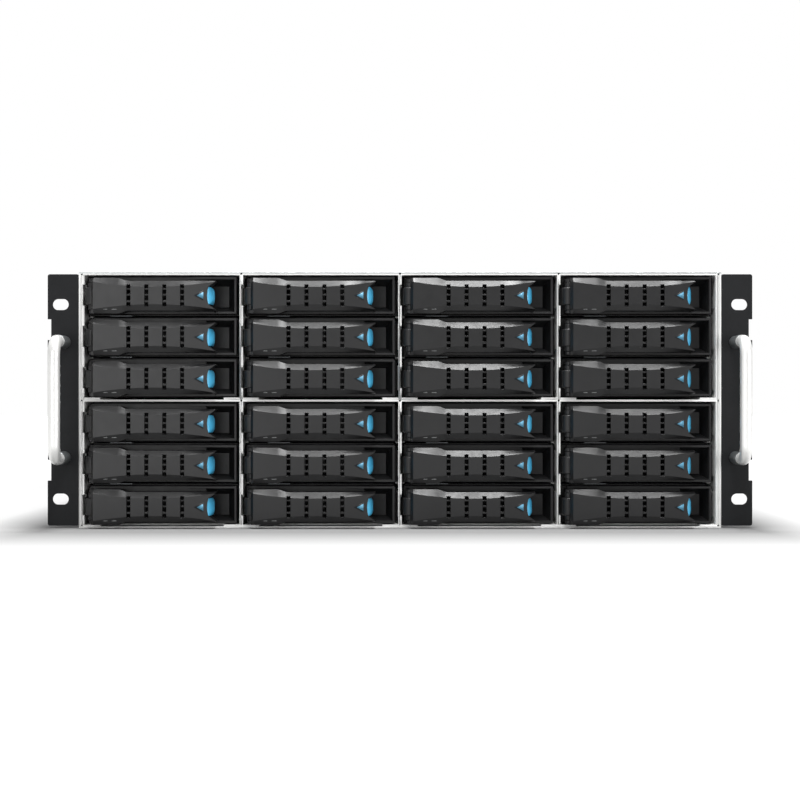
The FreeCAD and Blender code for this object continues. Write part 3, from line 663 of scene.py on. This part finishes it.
# ---- Bays ----
@dataclass(frozen=True)
class Bay:
    """One drive bay, placed from its carrier's box."""

    row: int
    column: int
    tray_left: float = 2.35     # mm from the middle of the wall's sheets to the tray
    tray_bottom: float = -13.4  # mm from the bay's middle to the tray's underside

    @property
    def tag(self) -> str:
        """The bay's part of a node's name."""
        return f"r{self.row}_c{self.column}"

    @property
    def origin(self) -> Point:
        """Middle of the left wall's sheets, ears' rear face and middle height, in millimetres."""
        low, _ = span(f"carrier_{self.tag}")
        return (low[0] - self.tray_left, 0.0, low[2] - self.tray_bottom)


BAYS = [Bay(row, column) for row in range(1, 7) for column in range(1, 5)]


# ---- Levers ----
@dataclass(frozen=True)
class LeverSet:
    """The moulded levers with their latches, lenses and marks.

    Measures are millimetres from the bay's origin: u runs right from the wall, y back, and w up
    from the lever's own middle, which lies drop below the bay's. A half is a half height in w.
    """

    drop: float = 0.9
    left: float = 7.2
    right: float = 91.9
    front: float = -13.0
    back: float = 1.5
    bevel: float = 2.6
    wall: float = 1.5
    wide_half: float = 12.1
    slim_half: float = 10.1
    shoulder: Range = (25.1, 32.5)
    face: Range = (9.0, 91.4)
    face_end_half: float = 9.3
    face_waist_half: float = 5.9
    stations: tuple[float, ...] = (14, 18, 22, 25.1, 26.6, 28.8, 30.5, 39, 51, 63.5, 74, 78, 82,
                                   84, 86, 88, 90)
    vents: tuple[float, ...] = (33.0, 45.2, 57.4, 69.5)
    vent_width: float = 2.8
    vent_span: Range = (-7.4, 7.6)
    ribs: tuple[Range, ...] = ((4.0, 5.0), (0.0, 1.1), (-4.6, -3.1))
    rib_depth: float = 0.9
    scoop: tuple[Range, ...] = ((0.0, 5.6), (3.2, 5.3), (6.3, 4.4), (9.0, 0.0))
    latch_half: float = 5.9
    latch_left: float = 82.0
    latch_tip: Range = (90.3, -2.5)
    latch_back: float = 0.6
    mark_base: float = 83.9
    lenses: tuple[Range, ...] = ((15.9, 18.6), (21.5, 24.8))
    lens_middle: float = 9.25
    lens_half: float = 0.3
    hinge: Range = (7.0, -3.0)
    lug_gap: float = 10.5
    hook_half: float = 6.0

    def face_half(self, u: np.ndarray) -> np.ndarray:
        """Half height of the flat face: a parabola, waisted in the middle of the lever."""
        middle, reach = sum(self.face) / 2, (self.face[1] - self.face[0]) / 2
        sag = self.face_end_half - self.face_waist_half
        return self.face_end_half - sag * (1 - ((u - middle) / reach) ** 2)

    def outer_half(self, u: np.ndarray) -> np.ndarray:
        """Half height of the outline: wide at the hinge, then an eased shoulder to slim."""
        step = np.clip((u - self.shoulder[0]) / (self.shoulder[1] - self.shoulder[0]), 0, 1)
        ease = step - 0.10 * np.sin(2 * math.pi * step)
        return self.wide_half + (self.slim_half - self.wide_half) * ease

    def scoop_depth(self, w: np.ndarray) -> np.ndarray:
        """How far the tip is hollowed at height w: straight runs between the scoop's corners."""
        heights, depths = np.array(self.scoop).T
        return np.interp(np.abs(w), heights, depths)

    def shell(self) -> Shape:
        """The moulding's outside: a profile of heights carried along u, with its openings.

        Each station has the outline's height, the bevel line's and fixed ones between, so the
        bevel narrows and widens as face_half does. Cells inside a vent, beside the hinge lugs
        or across the latch's mouth have no face.
        """
        half_vent = self.vent_width / 2
        vent_edges = [vent + side for vent in self.vents for side in (-half_vent, half_vent)]
        u = np.unique([self.left, self.face[0], self.lug_gap, *self.stations, self.right,
                       *vent_edges])
        outer, flat, level = self.outer_half(u), self.face_half(u), np.ones_like(u)
        mouth = np.minimum((self.latch_half + 0.3) * level, flat - 0.4)
        low, high = (np.clip(np.maximum(flat + 0.25, abs(end)), None, outer - 0.1)
                     for end in self.vent_span)
        heights = [-outer, -outer, -low, -flat, -mouth, -3.2 * level, 0 * level,
                   3.2 * level, mouth, flat, high, outer, outer]
        w = np.stack(heights, axis=1)
        rise = np.clip((np.abs(w) - flat[:, None]) / (outer - flat)[:, None], 0, 1)
        y = self.front + self.bevel * rise
        y[0] = self.front + self.bevel
        y[:, 0] = y[:, -1] = self.back
        tip = np.clip((u - self.latch_left) / (self.right - self.latch_left), 0, 1)[:, None]
        points = np.stack([u[:, None] - tip * self.scoop_depth(w), y, w], axis=-1)
        ends = points[[0, -1]].copy()
        ends[:, :, 1] = self.back
        points = np.vstack([ends[:1], points, ends[1:]])
        keep = np.ones((points.shape[0] - 1, points.shape[1] - 1), bool)
        for vent in self.vents:
            keep[1 + int(np.searchsorted(u, vent - half_vent - 0.01)), 2:10] = False
        lugs = 1 + int(np.searchsorted(u, self.lug_gap - 0.01))
        keep[:lugs, [0, -1]] = False
        keep[0, [1, 2, -3, -2]] = False
        keep[-1, 4:8] = False
        return grid(points, keep)

    def hinge_end(self) -> Shape:
        """Rounded knuckle, its axle, the hook into the wall's notch, and the vents' ribs."""
        u, y = self.hinge
        half = self.hook_half
        hook = np.array([(u - 0.6, y - 1.6), (u + 1.0, 1.2), (1.6, 3.8), (0.45, 3.2), (0.6, 2.0)])
        knuckle = turned(barrel(4.8, half, 0.6), (u, y, 0), 2, 36)
        axle = turned(barrel(3.0, 9.2), (u, y, 0), 2, 24)
        reach, depth = self.vent_width / 2 + 0.3, self.front + self.rib_depth
        ribs = [brick((vent - reach, depth, low), (vent + reach, depth + 1.2, high))
                for vent in self.vents for low, high in self.ribs]
        return joined([extruded(hook, -half, half, 2), knuckle, axle, *ribs])

    def pin(self) -> Shape:
        """Hinge pin with chamfered ends."""
        return turned(barrel(1.5, 11.6, 0.3), (*self.hinge, 0), 2, 20)

    def latch(self) -> Shape:
        """Latch button: a block whose face turns from front to side, longest at mid height.

        The rings run round the block in plan at each height: left, front, a quarter ellipse
        from the scoop's edge to the tip, and back.
        """
        w = np.linspace(-self.latch_half, self.latch_half, 17)
        level = np.ones_like(w)
        tip, depth = self.latch_tip
        end = tip - 1.3 * (w / self.latch_half) ** 4
        start = self.right - self.scoop_depth(w) - 0.5
        left, front = self.latch_left * level, self.front + 0.8
        plan = [(left, self.latch_back), (left, front + 1.1), (start - 0.6, front + 1.1)]
        plan += [(start + (end - start) * math.sin(turn), depth - (depth - front) * math.cos(turn))
                 for turn in np.linspace(0, QUARTER, 9)]
        plan.append((end, self.latch_back))
        return sleeve(np.stack([np.stack([u, y * level, w], axis=-1) for u, y in plan], axis=1))

    def mark(self, reach: float, half: float, depth: float) -> Shape:
        """Printed arrowhead that points at the hinge: a thin raised triangle."""
        base = self.mark_base
        outline = np.array([(-half, base), (0, base - reach), (half, base)])
        return extruded(outline, self.front - depth, self.front + 0.1, 1)

    def lens(self, u0: float, u1: float) -> Shape:
        """Lamp lens set in the lower bevel, a little proud of it at the lens's middle."""
        u, middle = np.array([(u0 + u1) / 2]), self.lens_middle
        flat, outer = self.face_half(u)[0], self.outer_half(u)[0]
        depth = self.front + self.bevel * (middle - flat) / (outer - flat) - 0.12
        return brick((u0, depth, -middle - self.lens_half), (u1, -7.4, -middle + self.lens_half))

    def build(self, finishes: Finishes) -> None:
        """Makes every bay's lever and hides its plain solid."""
        shell, hinge_end, pin, latch = self.shell(), self.hinge_end(), self.pin(), self.latch()
        halo, arrow = self.mark(6.6, 3.5, 0.03), self.mark(4.5, 2.4, 0.06)
        lenses = joined(self.lens(*ends) for ends in self.lenses)
        for bay in BAYS:
            x, y, z = bay.origin
            body, place = f"lever_{bay.tag}", (x, y, z - self.drop)
            piece = make(f"lever_shell_{bay.tag}", shell.moved(place), finishes.lever, body,
                         Edge(0.22, 2, 20), self.wall)
            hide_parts(body)
            make(f"hinge_end_{bay.tag}", hinge_end.moved(place), finishes.bezel, body,
                 Edge(0.2))
            make(f"hinge_pin_{bay.tag}", pin.moved(place), finishes.black_anodised, body)
            make(f"lamp_lenses_{bay.tag}", lenses.moved(place), finishes.lens, body, Edge(0.15))
            make(f"arrow_halo_{bay.tag}", halo.moved(place), finishes.halo, body)
            make(f"arrow_mark_{bay.tag}", arrow.moved(place), finishes.ink, body)
            latch_body = "latch_r1_c1" if bay.tag == "r1_c1" else body
            button = make(f"latch_button_{bay.tag}", latch.moved(place), finishes.latch,
                          latch_body, Edge(0.2, 3, 40))
            if latch_body != body:
                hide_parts(latch_body)
        LOG.info("levers: %d, each a shell, hinge end, pin, latch, lenses and marks", len(BAYS))


# ---- Carriers ----
@dataclass(frozen=True)
class CarrierSet:
    """The carriers' solids: moulded front, folded tray, and the disk in it."""

    bezel_rear: float = 16.0
    tray_skin: float = 1.25
    floor_skin: float = 0.85
    lid_skin: float = 1.25
    shade_plate_low: Point = (3.7, 15.8, -13.5)
    shade_plate_high: Point = (104.6, 17.2, 13.9)

    def rules(self, finishes: Finishes, low: np.ndarray, high: np.ndarray) -> list[Rule]:
        """Which faces are the disk's casting, its lid and the tray's sides and floor. The tray's
        front edges, at bezel_rear, keep the bezel's black as painted shade between the rows.

        Args:
            finishes: the shelf's materials.
            low: the carrier's lowest corner.
            high: its highest corner.

        Returns:
            Rules for paint.
        """
        # tray faces up to tray_front stay black: painted shade on the tray's front edges
        disk_front, tray_front = self.bezel_rear + 1, self.bezel_rear + 0.01
        left, right = low[0] + self.tray_skin, high[0] - self.tray_skin
        floor, lid = low[2] + self.floor_skin, high[2] - self.lid_skin
        return [
            (finishes.casting, lambda c: c[:, 1] > disk_front),
            (finishes.lid, lambda c: (c[:, 1] > disk_front) & (c[:, 2] > lid)),
            (finishes.module, lambda c: (c[:, 1] > tray_front) & (
                (c[:, 0] < left) | (c[:, 0] > right) | (c[:, 2] < floor))),
        ]

    def build(self, finishes: Finishes) -> None:
        """Paints each carrier, and closes the view past its front with a black plate: painted shade
        where the deep gaps between the bezels fall dark.
        """
        # black plate across the carrier behind its bezel: painted shade of the gaps between rows
        shade_plate = brick(self.shade_plate_low, self.shade_plate_high)
        for bay in BAYS:
            node = f"carrier_{bay.tag}"
            paint(node, finishes.bezel, self.rules(finishes, *span(node)))
            softened(node, Edge(0.3, 2, 30))
            make(f"bezel_shade_plate_{bay.tag}", shade_plate.moved(bay.origin), finishes.black_plastic,
                 node, Edge(0.3))
        LOG.info("carriers: %d", len(BAYS))


# ---- Chassis ----
@dataclass(frozen=True)
class Chassis:
    """Sheet-metal body, drive cages, ears and handles, in millimetres."""

    handle_x: float = 229.8
    handle_middle: float = 1.3
    handle_span: float = 79.0
    handle_reach: Range = (-42.5, -2.5)
    bar_radius: float = 4.1
    bend: float = 10.0
    collar_length: float = 20.0
    collar_foot: float = -2.6
    lamp_x: float = -233.4
    lamps: tuple[float, ...] = (23.2, 17.0, 9.8, 4.3, -1.5)
    lamp_radius: float = 1.02
    screw_columns: tuple[float, ...] = (-205.0, 0.0, 205.0)
    screw_rows: tuple[float, ...] = (30.0, 170.0, 479.5)
    cover_top: float = 88.8
    wall_columns: tuple[float, ...] = (-108.7, 0.0, 108.7)
    hole_heights: Range = (87.75, 0.85)
    hole_radius: float = 0.7
    stop_low: Point = (18, 3.0, -14.35)
    stop_high: Point = (33, 14.0, -13.75)

    def handle(self, side: Side) -> Shape:
        """Bent bar: straight legs and grip with quarter circles between, in round section."""
        front, foot = self.handle_reach[0] + self.bar_radius, self.handle_reach[1]
        half, bend = self.handle_span / 2, self.bend
        low, high = self.handle_middle - half, self.handle_middle + half
        turn = np.linspace(0, QUARTER, 13)
        rising, falling = bend * (1 - np.sin(turn)), bend * (1 - np.cos(turn))
        leg = np.linspace(foot, front + bend, 5)[:-1]
        grip = np.linspace(low + bend, high - bend, 7)[1:-1]
        runs = [(leg, np.full_like(leg, low)), (front + rising, low + falling),
                (np.full_like(grip, front), grip), (front + falling, high - rising),
                (leg[::-1], np.full_like(leg, high))]
        path = np.vstack([np.stack(run, axis=1) for run in runs])
        return tube(np.insert(path, 0, side.value * self.handle_x, axis=1), self.bar_radius, 32)

    def collars(self) -> Shape:
        """Dark collars where the handles' legs meet the ears. Their dark grey is a painted
        reflection: it stands in for the black ears mirrored in the bright bars' legs.
        """
        radius, length = self.bar_radius + 0.3, self.collar_length
        profile = np.array([(0, -length), (radius - 0.3, -length), (radius, 0.4 - length),
                            (radius, 0), (0, 0)])
        half = self.handle_span / 2
        return joined(turned(profile, (side.value * self.handle_x, self.collar_foot, z), 1, 36)
                      for side in Side
                      for z in (self.handle_middle - half, self.handle_middle + half))

    def sheet_holes(self) -> Shape:
        """Small round locating holes where the walls' tabs pass through the roof and shelf, as
        near-black discs on the sheet's front: painted shade of the holes.
        """
        low, _ = span("drive_cage")
        radius = self.hole_radius
        disc = np.array([(0, -0.04), (radius, -0.04), (radius, 0.3), (0, 0.3)])
        return joined(turned(disc, (x, low[1], z), 1, 14)
                      for x in self.wall_columns for z in self.hole_heights)

    def recesses(self) -> Shape:
        """Cross recesses in the cover's screw heads: a twelve-sided cross at each head, near black
        as painted shade in the recess.
        """
        arm, tip = 0.45, 1.7
        quarter = np.array([complex(tip, arm), complex(arm, arm), complex(arm, tip)])
        cross = np.concatenate([quarter * 1j ** turn for turn in range(4)])
        head = extruded(np.column_stack([cross.real, cross.imag]), self.cover_top - 0.2,
                        self.cover_top + 0.03, 2)
        return joined(head.moved((x, y, 0)) for x in self.screw_columns for y in self.screw_rows)

    def stops(self) -> Shape:
        """Narrow sheet tabs that a carrier's shoulder rests behind, under each row but two. Their
        mid grey, darker than the cage's zinc, is painted shade.
        """
        above_a_sheet = (3, 6)
        return joined(brick(self.stop_low, self.stop_high).moved(bay.origin)
                      for bay in BAYS if bay.row not in above_a_sheet)

    def build(self, finishes: Finishes) -> None:
        """Paints the sheets and makes the handles."""
        front_edges = within((0, 230), (-3, -2.3), (-90, 90))
        paint("chassis_base", finishes.pan, [(finishes.cage, front_edges)])
        head_half, head_heights = 4, (88.35, 90)
        paint("top_cover", finishes.pan, [
            (finishes.wire, within((x - head_half, x + head_half), (y - head_half, y + head_half),
                                   head_heights, False))
            for x in self.screw_columns for y in self.screw_rows])
        paint("drive_cage", finishes.cage, [])
        paint("backplane", finishes.board, [])
        paint("rack_ears", finishes.ear, [
            (finishes.lens, about(self.lamp_x, self.handle_middle + rise, self.lamp_radius,
                                  (-3, 0.1), False)) for rise in self.lamps])
        for node in ("chassis_base", "top_cover", "drive_cage", "rack_ears"):
            softened(node, Edge(0.2, 2, 30))
        bars = [make(f"pull_handle_{side.name.lower()}", self.handle(side), finishes.bar,
                     "chassis") for side in Side]
        make("handle_collars", self.collars(), finishes.collar, "chassis", Edge(0.3, 2, 50))
        make("sheet_holes", self.sheet_holes(), finishes.hollow, "chassis")
        make("screw_recesses", self.recesses(), finishes.hollow, "chassis")
        make("carrier_stops", self.stops(), finishes.stop_shade_grey, "chassis", Edge(0.1))
        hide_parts("bar_handles")
        LOG.info("chassis, cages, ears and handles")


@dataclass(frozen=True)
class RearModules:
    """Power supplies, their fans and the port module, in millimetres.

    The supplies mirror each other, so their X is a distance from the middle plane.
    """

    behind: Range = (497.52, 520.0)         # what stands out behind the modules' plates
    fan_axis: Range = (148.5, -42.9)
    guard_radius: float = 36.0
    inlet: Range = (197.5, -22.9)
    inlet_pins: tuple[Range, ...] = ((-7, -1.5), (0, 2.5), (7, -1.5))
    pin_reach: Range = (478.3, 490.3)
    supply_screw: Range = (197.5, -74.9)
    ports: tuple[float, ...] = (-52, -24, 4)
    port_depth: Range = (480.6, 499.0)
    port_screw: Range = (88.0, -74.9)
    screw_radius: float = 4.6

    def supply_rules(self, finishes: Finishes) -> list[Rule]:
        """Fan frame, inlet, its pins, wire guard, pull tab and screw of a power supply."""
        x, z = self.inlet
        pins = [(finishes.brass, within((x + dx - 1, x + dx + 1), self.pin_reach,
                                        (z + dz - 2, z + dz + 2))) for dx, dz in self.inlet_pins]
        return [
            (finishes.black_plastic, within((113.9, 183.1), (471.3, 496.28), (-77.5, -8.3))),
            (finishes.black_plastic, within((183.7, 211.3), (476, 496.35), (-33, -12.8))),
            *pins,
            (finishes.wire, about(*self.fan_axis, self.guard_radius, self.behind)),
            (finishes.green_plastic, within((188.5, 206.5), self.behind, (-62.9, -59.9))),
            (finishes.wire, about(*self.supply_screw, self.screw_radius, self.behind)),
        ]

    def port_rules(self, finishes: Finishes) -> list[Rule]:
        """Board, ports, heatsink, pull tab and screws of the port module."""
        cable_ports = [(finishes.wire, within((x - 8.5, x + 8.5), self.port_depth, (-74, -65.8),
                                              False)) for x in self.ports]
        return [
            (finishes.board, within((-200, 200), (0, 496), (-79.9, -78.3), False)),
            *cable_ports,
            (finishes.wire, within((29, 43), self.port_depth, (-75.5, -64.5), False)),
            (finishes.black_anodised, within((-20, 20), (359.5, 399.5), (-78.25, -58.9), False)),
            (finishes.green_plastic, within((56, 76), self.behind, (-64.9, -61.9), False)),
            (finishes.wire, about(*self.port_screw, self.screw_radius, self.behind)),
        ]

    def build(self, finishes: Finishes) -> None:
        """Paints the modules."""
        for side in ("left", "right"):
            paint(f"psu_{side}", finishes.module, self.supply_rules(finishes))
            paint(f"psu_fan_{side}", finishes.black_plastic, [])
            softened(f"psu_{side}", Edge(0.25, 2, 30), flats=False)
        paint("expander_module", finishes.module, self.port_rules(finishes))
        softened("expander_module", Edge(0.2, 2, 30))
        LOG.info("rear modules")


# ---- Studio ----
@dataclass(frozen=True)
class Lamp:
    """A soft box: its centre, the point it faces and its size in metres, and its watts."""

    name: str
    centre: Point
    aim: Point
    size: Range
    power: float

    def build(self) -> None:
        """Adds the light."""
        data = bpy.data.lights.new(self.name, "AREA")
        data.shape = "RECTANGLE"
        data.size, data.size_y = self.size
        data.energy = self.power
        lamp = placed(self.name, data)
        lamp.location = self.centre
        toward = Vector(self.aim) - Vector(self.centre)
        lamp.rotation_euler = toward.to_track_quat("-Z", "Y").to_euler()


@dataclass(frozen=True)
class Studio:
    """White sweep, pale floor, soft lights and a level camera in front of the shelf, in metres.

    The floor's own white starts at the shelf's footprint. It rises to lift over lift_reach, and
    by far_lift more over far_reach, so that the floor is white beyond the shadow. Its fade to
    none at the footprint paints a dark border round the shelf: a painted shadow beside the real
    shadow that the lamps cast on the floor.
    """

    distance: float = 1.15
    width_seen: float = 0.5478
    eye_height: float = 0.00125
    floor_half: float = 8.0
    # the fade of the floor's own white towards the footprint is a painted shadow
    lift: float = 0.62
    lift_reach: Range = (0.0, 0.13)
    far_lift: float = 0.5
    far_reach: Range = (0.3, 1.2)
    side_haste: float = 2.5     # how much sooner the white rises beside the shelf
    ambient: Range = (0.42, 0.74)
    lamps: tuple[Lamp, ...] = (
        Lamp("overhead_box", (0.06, -0.04, 1.0), (0.06, -0.04, 0), (0.56, 0.20), 11.3),
        Lamp("bevel_box", (0.11, -0.47, 0.95), (0.05, -0.01, 0), (0.26, 0.36), 7.4),
        Lamp("rear_box", (0.10, 1.0, 1.1), (0, 0, 0), (0.9, 0.5), 3.0),
        Lamp("front_right_box", (1.2, -0.9, 0.25), (0, 0, 0), (0.5, 0.6), 5.0),
        Lamp("front_left_box", (-0.62, -1.3, 0.12), (-0.15, 0, 0), (0.6, 0.8), 3.8),
    )

    def camera(self) -> None:
        """A level camera whose view is width_seen wide at the ears' front."""
        low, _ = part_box("rack_ears")
        data = bpy.data.cameras.new("studio_camera")
        data.sensor_width = 36.0
        data.lens = data.sensor_width * self.distance / self.width_seen
        data.clip_end = 50.0
        camera = placed("studio_camera", data)
        camera.location = (0, low[1] - self.distance, self.eye_height)
        camera.rotation_euler = (QUARTER, 0, 0)
        bpy.context.scene.camera = camera

    def white_with_painted_shadow(self, tree: Tree) -> Socket:
        """The floor's own white, from how far a point lies outside the shelf's footprint; its fade
        to none at the footprint is a painted shadow.
        """
        corners = np.array(BOX_BEFORE)
        middle, half = corners.mean(0), (corners[1] - corners[0]) / 2
        any_height = 9.0
        steps = (("SUBTRACT", (middle[0], middle[1], 0)), ("ABSOLUTE", None),
                 ("SUBTRACT", (half[0], half[1], any_height)), ("MAXIMUM", (0, 0, 0)),
                 ("MULTIPLY", (self.side_haste, 1, 1)))
        place = add(tree, "ShaderNodeTexCoord").outputs["Object"]
        for operation, amount in steps:
            settings = {"operation": operation} | ({1: amount} if amount else {})
            place = add(tree, "ShaderNodeVectorMath", settings, {0: place}).outputs["Vector"]
        away = add(tree, "ShaderNodeVectorMath", {"operation": "LENGTH"},
                   {0: place}).outputs["Value"]
        rises = [add(tree, "ShaderNodeMapRange",
                     {"From Min": start, "From Max": end, "To Min": 0.0, "To Max": most},
                     {"Value": away}).outputs["Result"]
                 for (start, end), most in ((self.lift_reach, self.lift),
                                            (self.far_reach, self.far_lift))]
        return add(tree, "ShaderNodeMath", {"operation": "ADD"},
                   {0: rises[0], 1: rises[1]}).outputs[0]

    def floor(self) -> None:
        """A wide pale floor that shows white to the eye, apart from the shadow on it: partly the
        lamps' real shadow, partly the painted shadow of its fading own white.
        """
        low, _ = BOX_BEFORE
        edge, below = np.linspace(-self.floor_half, self.floor_half, 3), low[2] - 0.0002
        across, along = np.meshgrid(edge, edge, indexing="ij")
        shape = grid(np.stack([across, along, np.full_like(across, below)], axis=-1))
        mesh = bpy.data.meshes.new("studio_floor")
        mesh.from_pydata(shape.points.tolist(), [], shape.faces)
        floor = placed("studio_floor", mesh)
        material = bpy.data.materials.new("white_floor")
        tree = bare(material)
        rays = add(tree, "ShaderNodeLightPath").outputs
        seen = add(tree, "ShaderNodeMath", {"operation": "MAXIMUM"},
                   {0: rays["Is Camera Ray"], 1: rays["Is Glossy Ray"]}).outputs[0]
        own = add(tree, "ShaderNodeMath", {"operation": "MULTIPLY"},
                  {0: seen, 1: self.white_with_painted_shadow(tree)}).outputs[0]
        glow = add(tree, "ShaderNodeEmission", {"Color": (1, 1, 1, 1)}, {"Strength": own})
        paper = add(tree, "ShaderNodeBsdfDiffuse", {"Color": linear("#8C8C8C")})
        both = add(tree, "ShaderNodeAddShader", None,
                   {0: paper.outputs["BSDF"], 1: glow.outputs["Emission"]})
        add(tree, "ShaderNodeOutputMaterial", None, {"Surface": both.outputs["Shader"]})
        mesh.materials.append(material)

    def world(self) -> None:
        """White to the eye; as light, brighter behind the shelf than in front of it."""
        world = bpy.data.worlds.new("studio_world")
        bpy.context.scene.world = world
        tree = bare(world)
        seen = add(tree, "ShaderNodeLightPath").outputs["Is Camera Ray"]
        place = add(tree, "ShaderNodeTexCoord").outputs["Generated"]
        split = add(tree, "ShaderNodeSeparateXYZ", None, {"Vector": place})
        dim, bright = self.ambient
        depth = add(tree, "ShaderNodeMapRange",
                    {"From Min": -0.9, "From Max": 0.3, "To Min": dim, "To Max": bright},
                    {"Value": split.outputs["Y"]}).outputs["Result"]
        soft = add(tree, "ShaderNodeBackground", {"Color": (1, 1, 1, 1)}, {"Strength": depth})
        white = add(tree, "ShaderNodeBackground", {"Color": (1, 1, 1, 1), "Strength": 1.0})
        mix = add(tree, "ShaderNodeMixShader", None,
                  {"Fac": seen, 1: soft.outputs[0], 2: white.outputs[0]})
        add(tree, "ShaderNodeOutputWorld", None, {"Surface": mix.outputs["Shader"]})

    def build(self) -> None:
        """Sets the camera, floor, world and lights."""
        self.camera()
        self.floor()
        self.world()
        for lamp in self.lamps:
            lamp.build()
        bpy.context.scene.view_settings.view_transform = "Standard"


def main() -> None:
    """Builds the studio and every sub-assembly."""
    logging.basicConfig(level=logging.INFO, format="%(name)s: %(message)s")
    finishes = Finishes()
    Studio().build()
    Chassis().build(finishes)
    CarrierSet().build(finishes)
    LeverSet().build(finishes)
    RearModules().build(finishes)


if __name__ == "__main__":
    main()
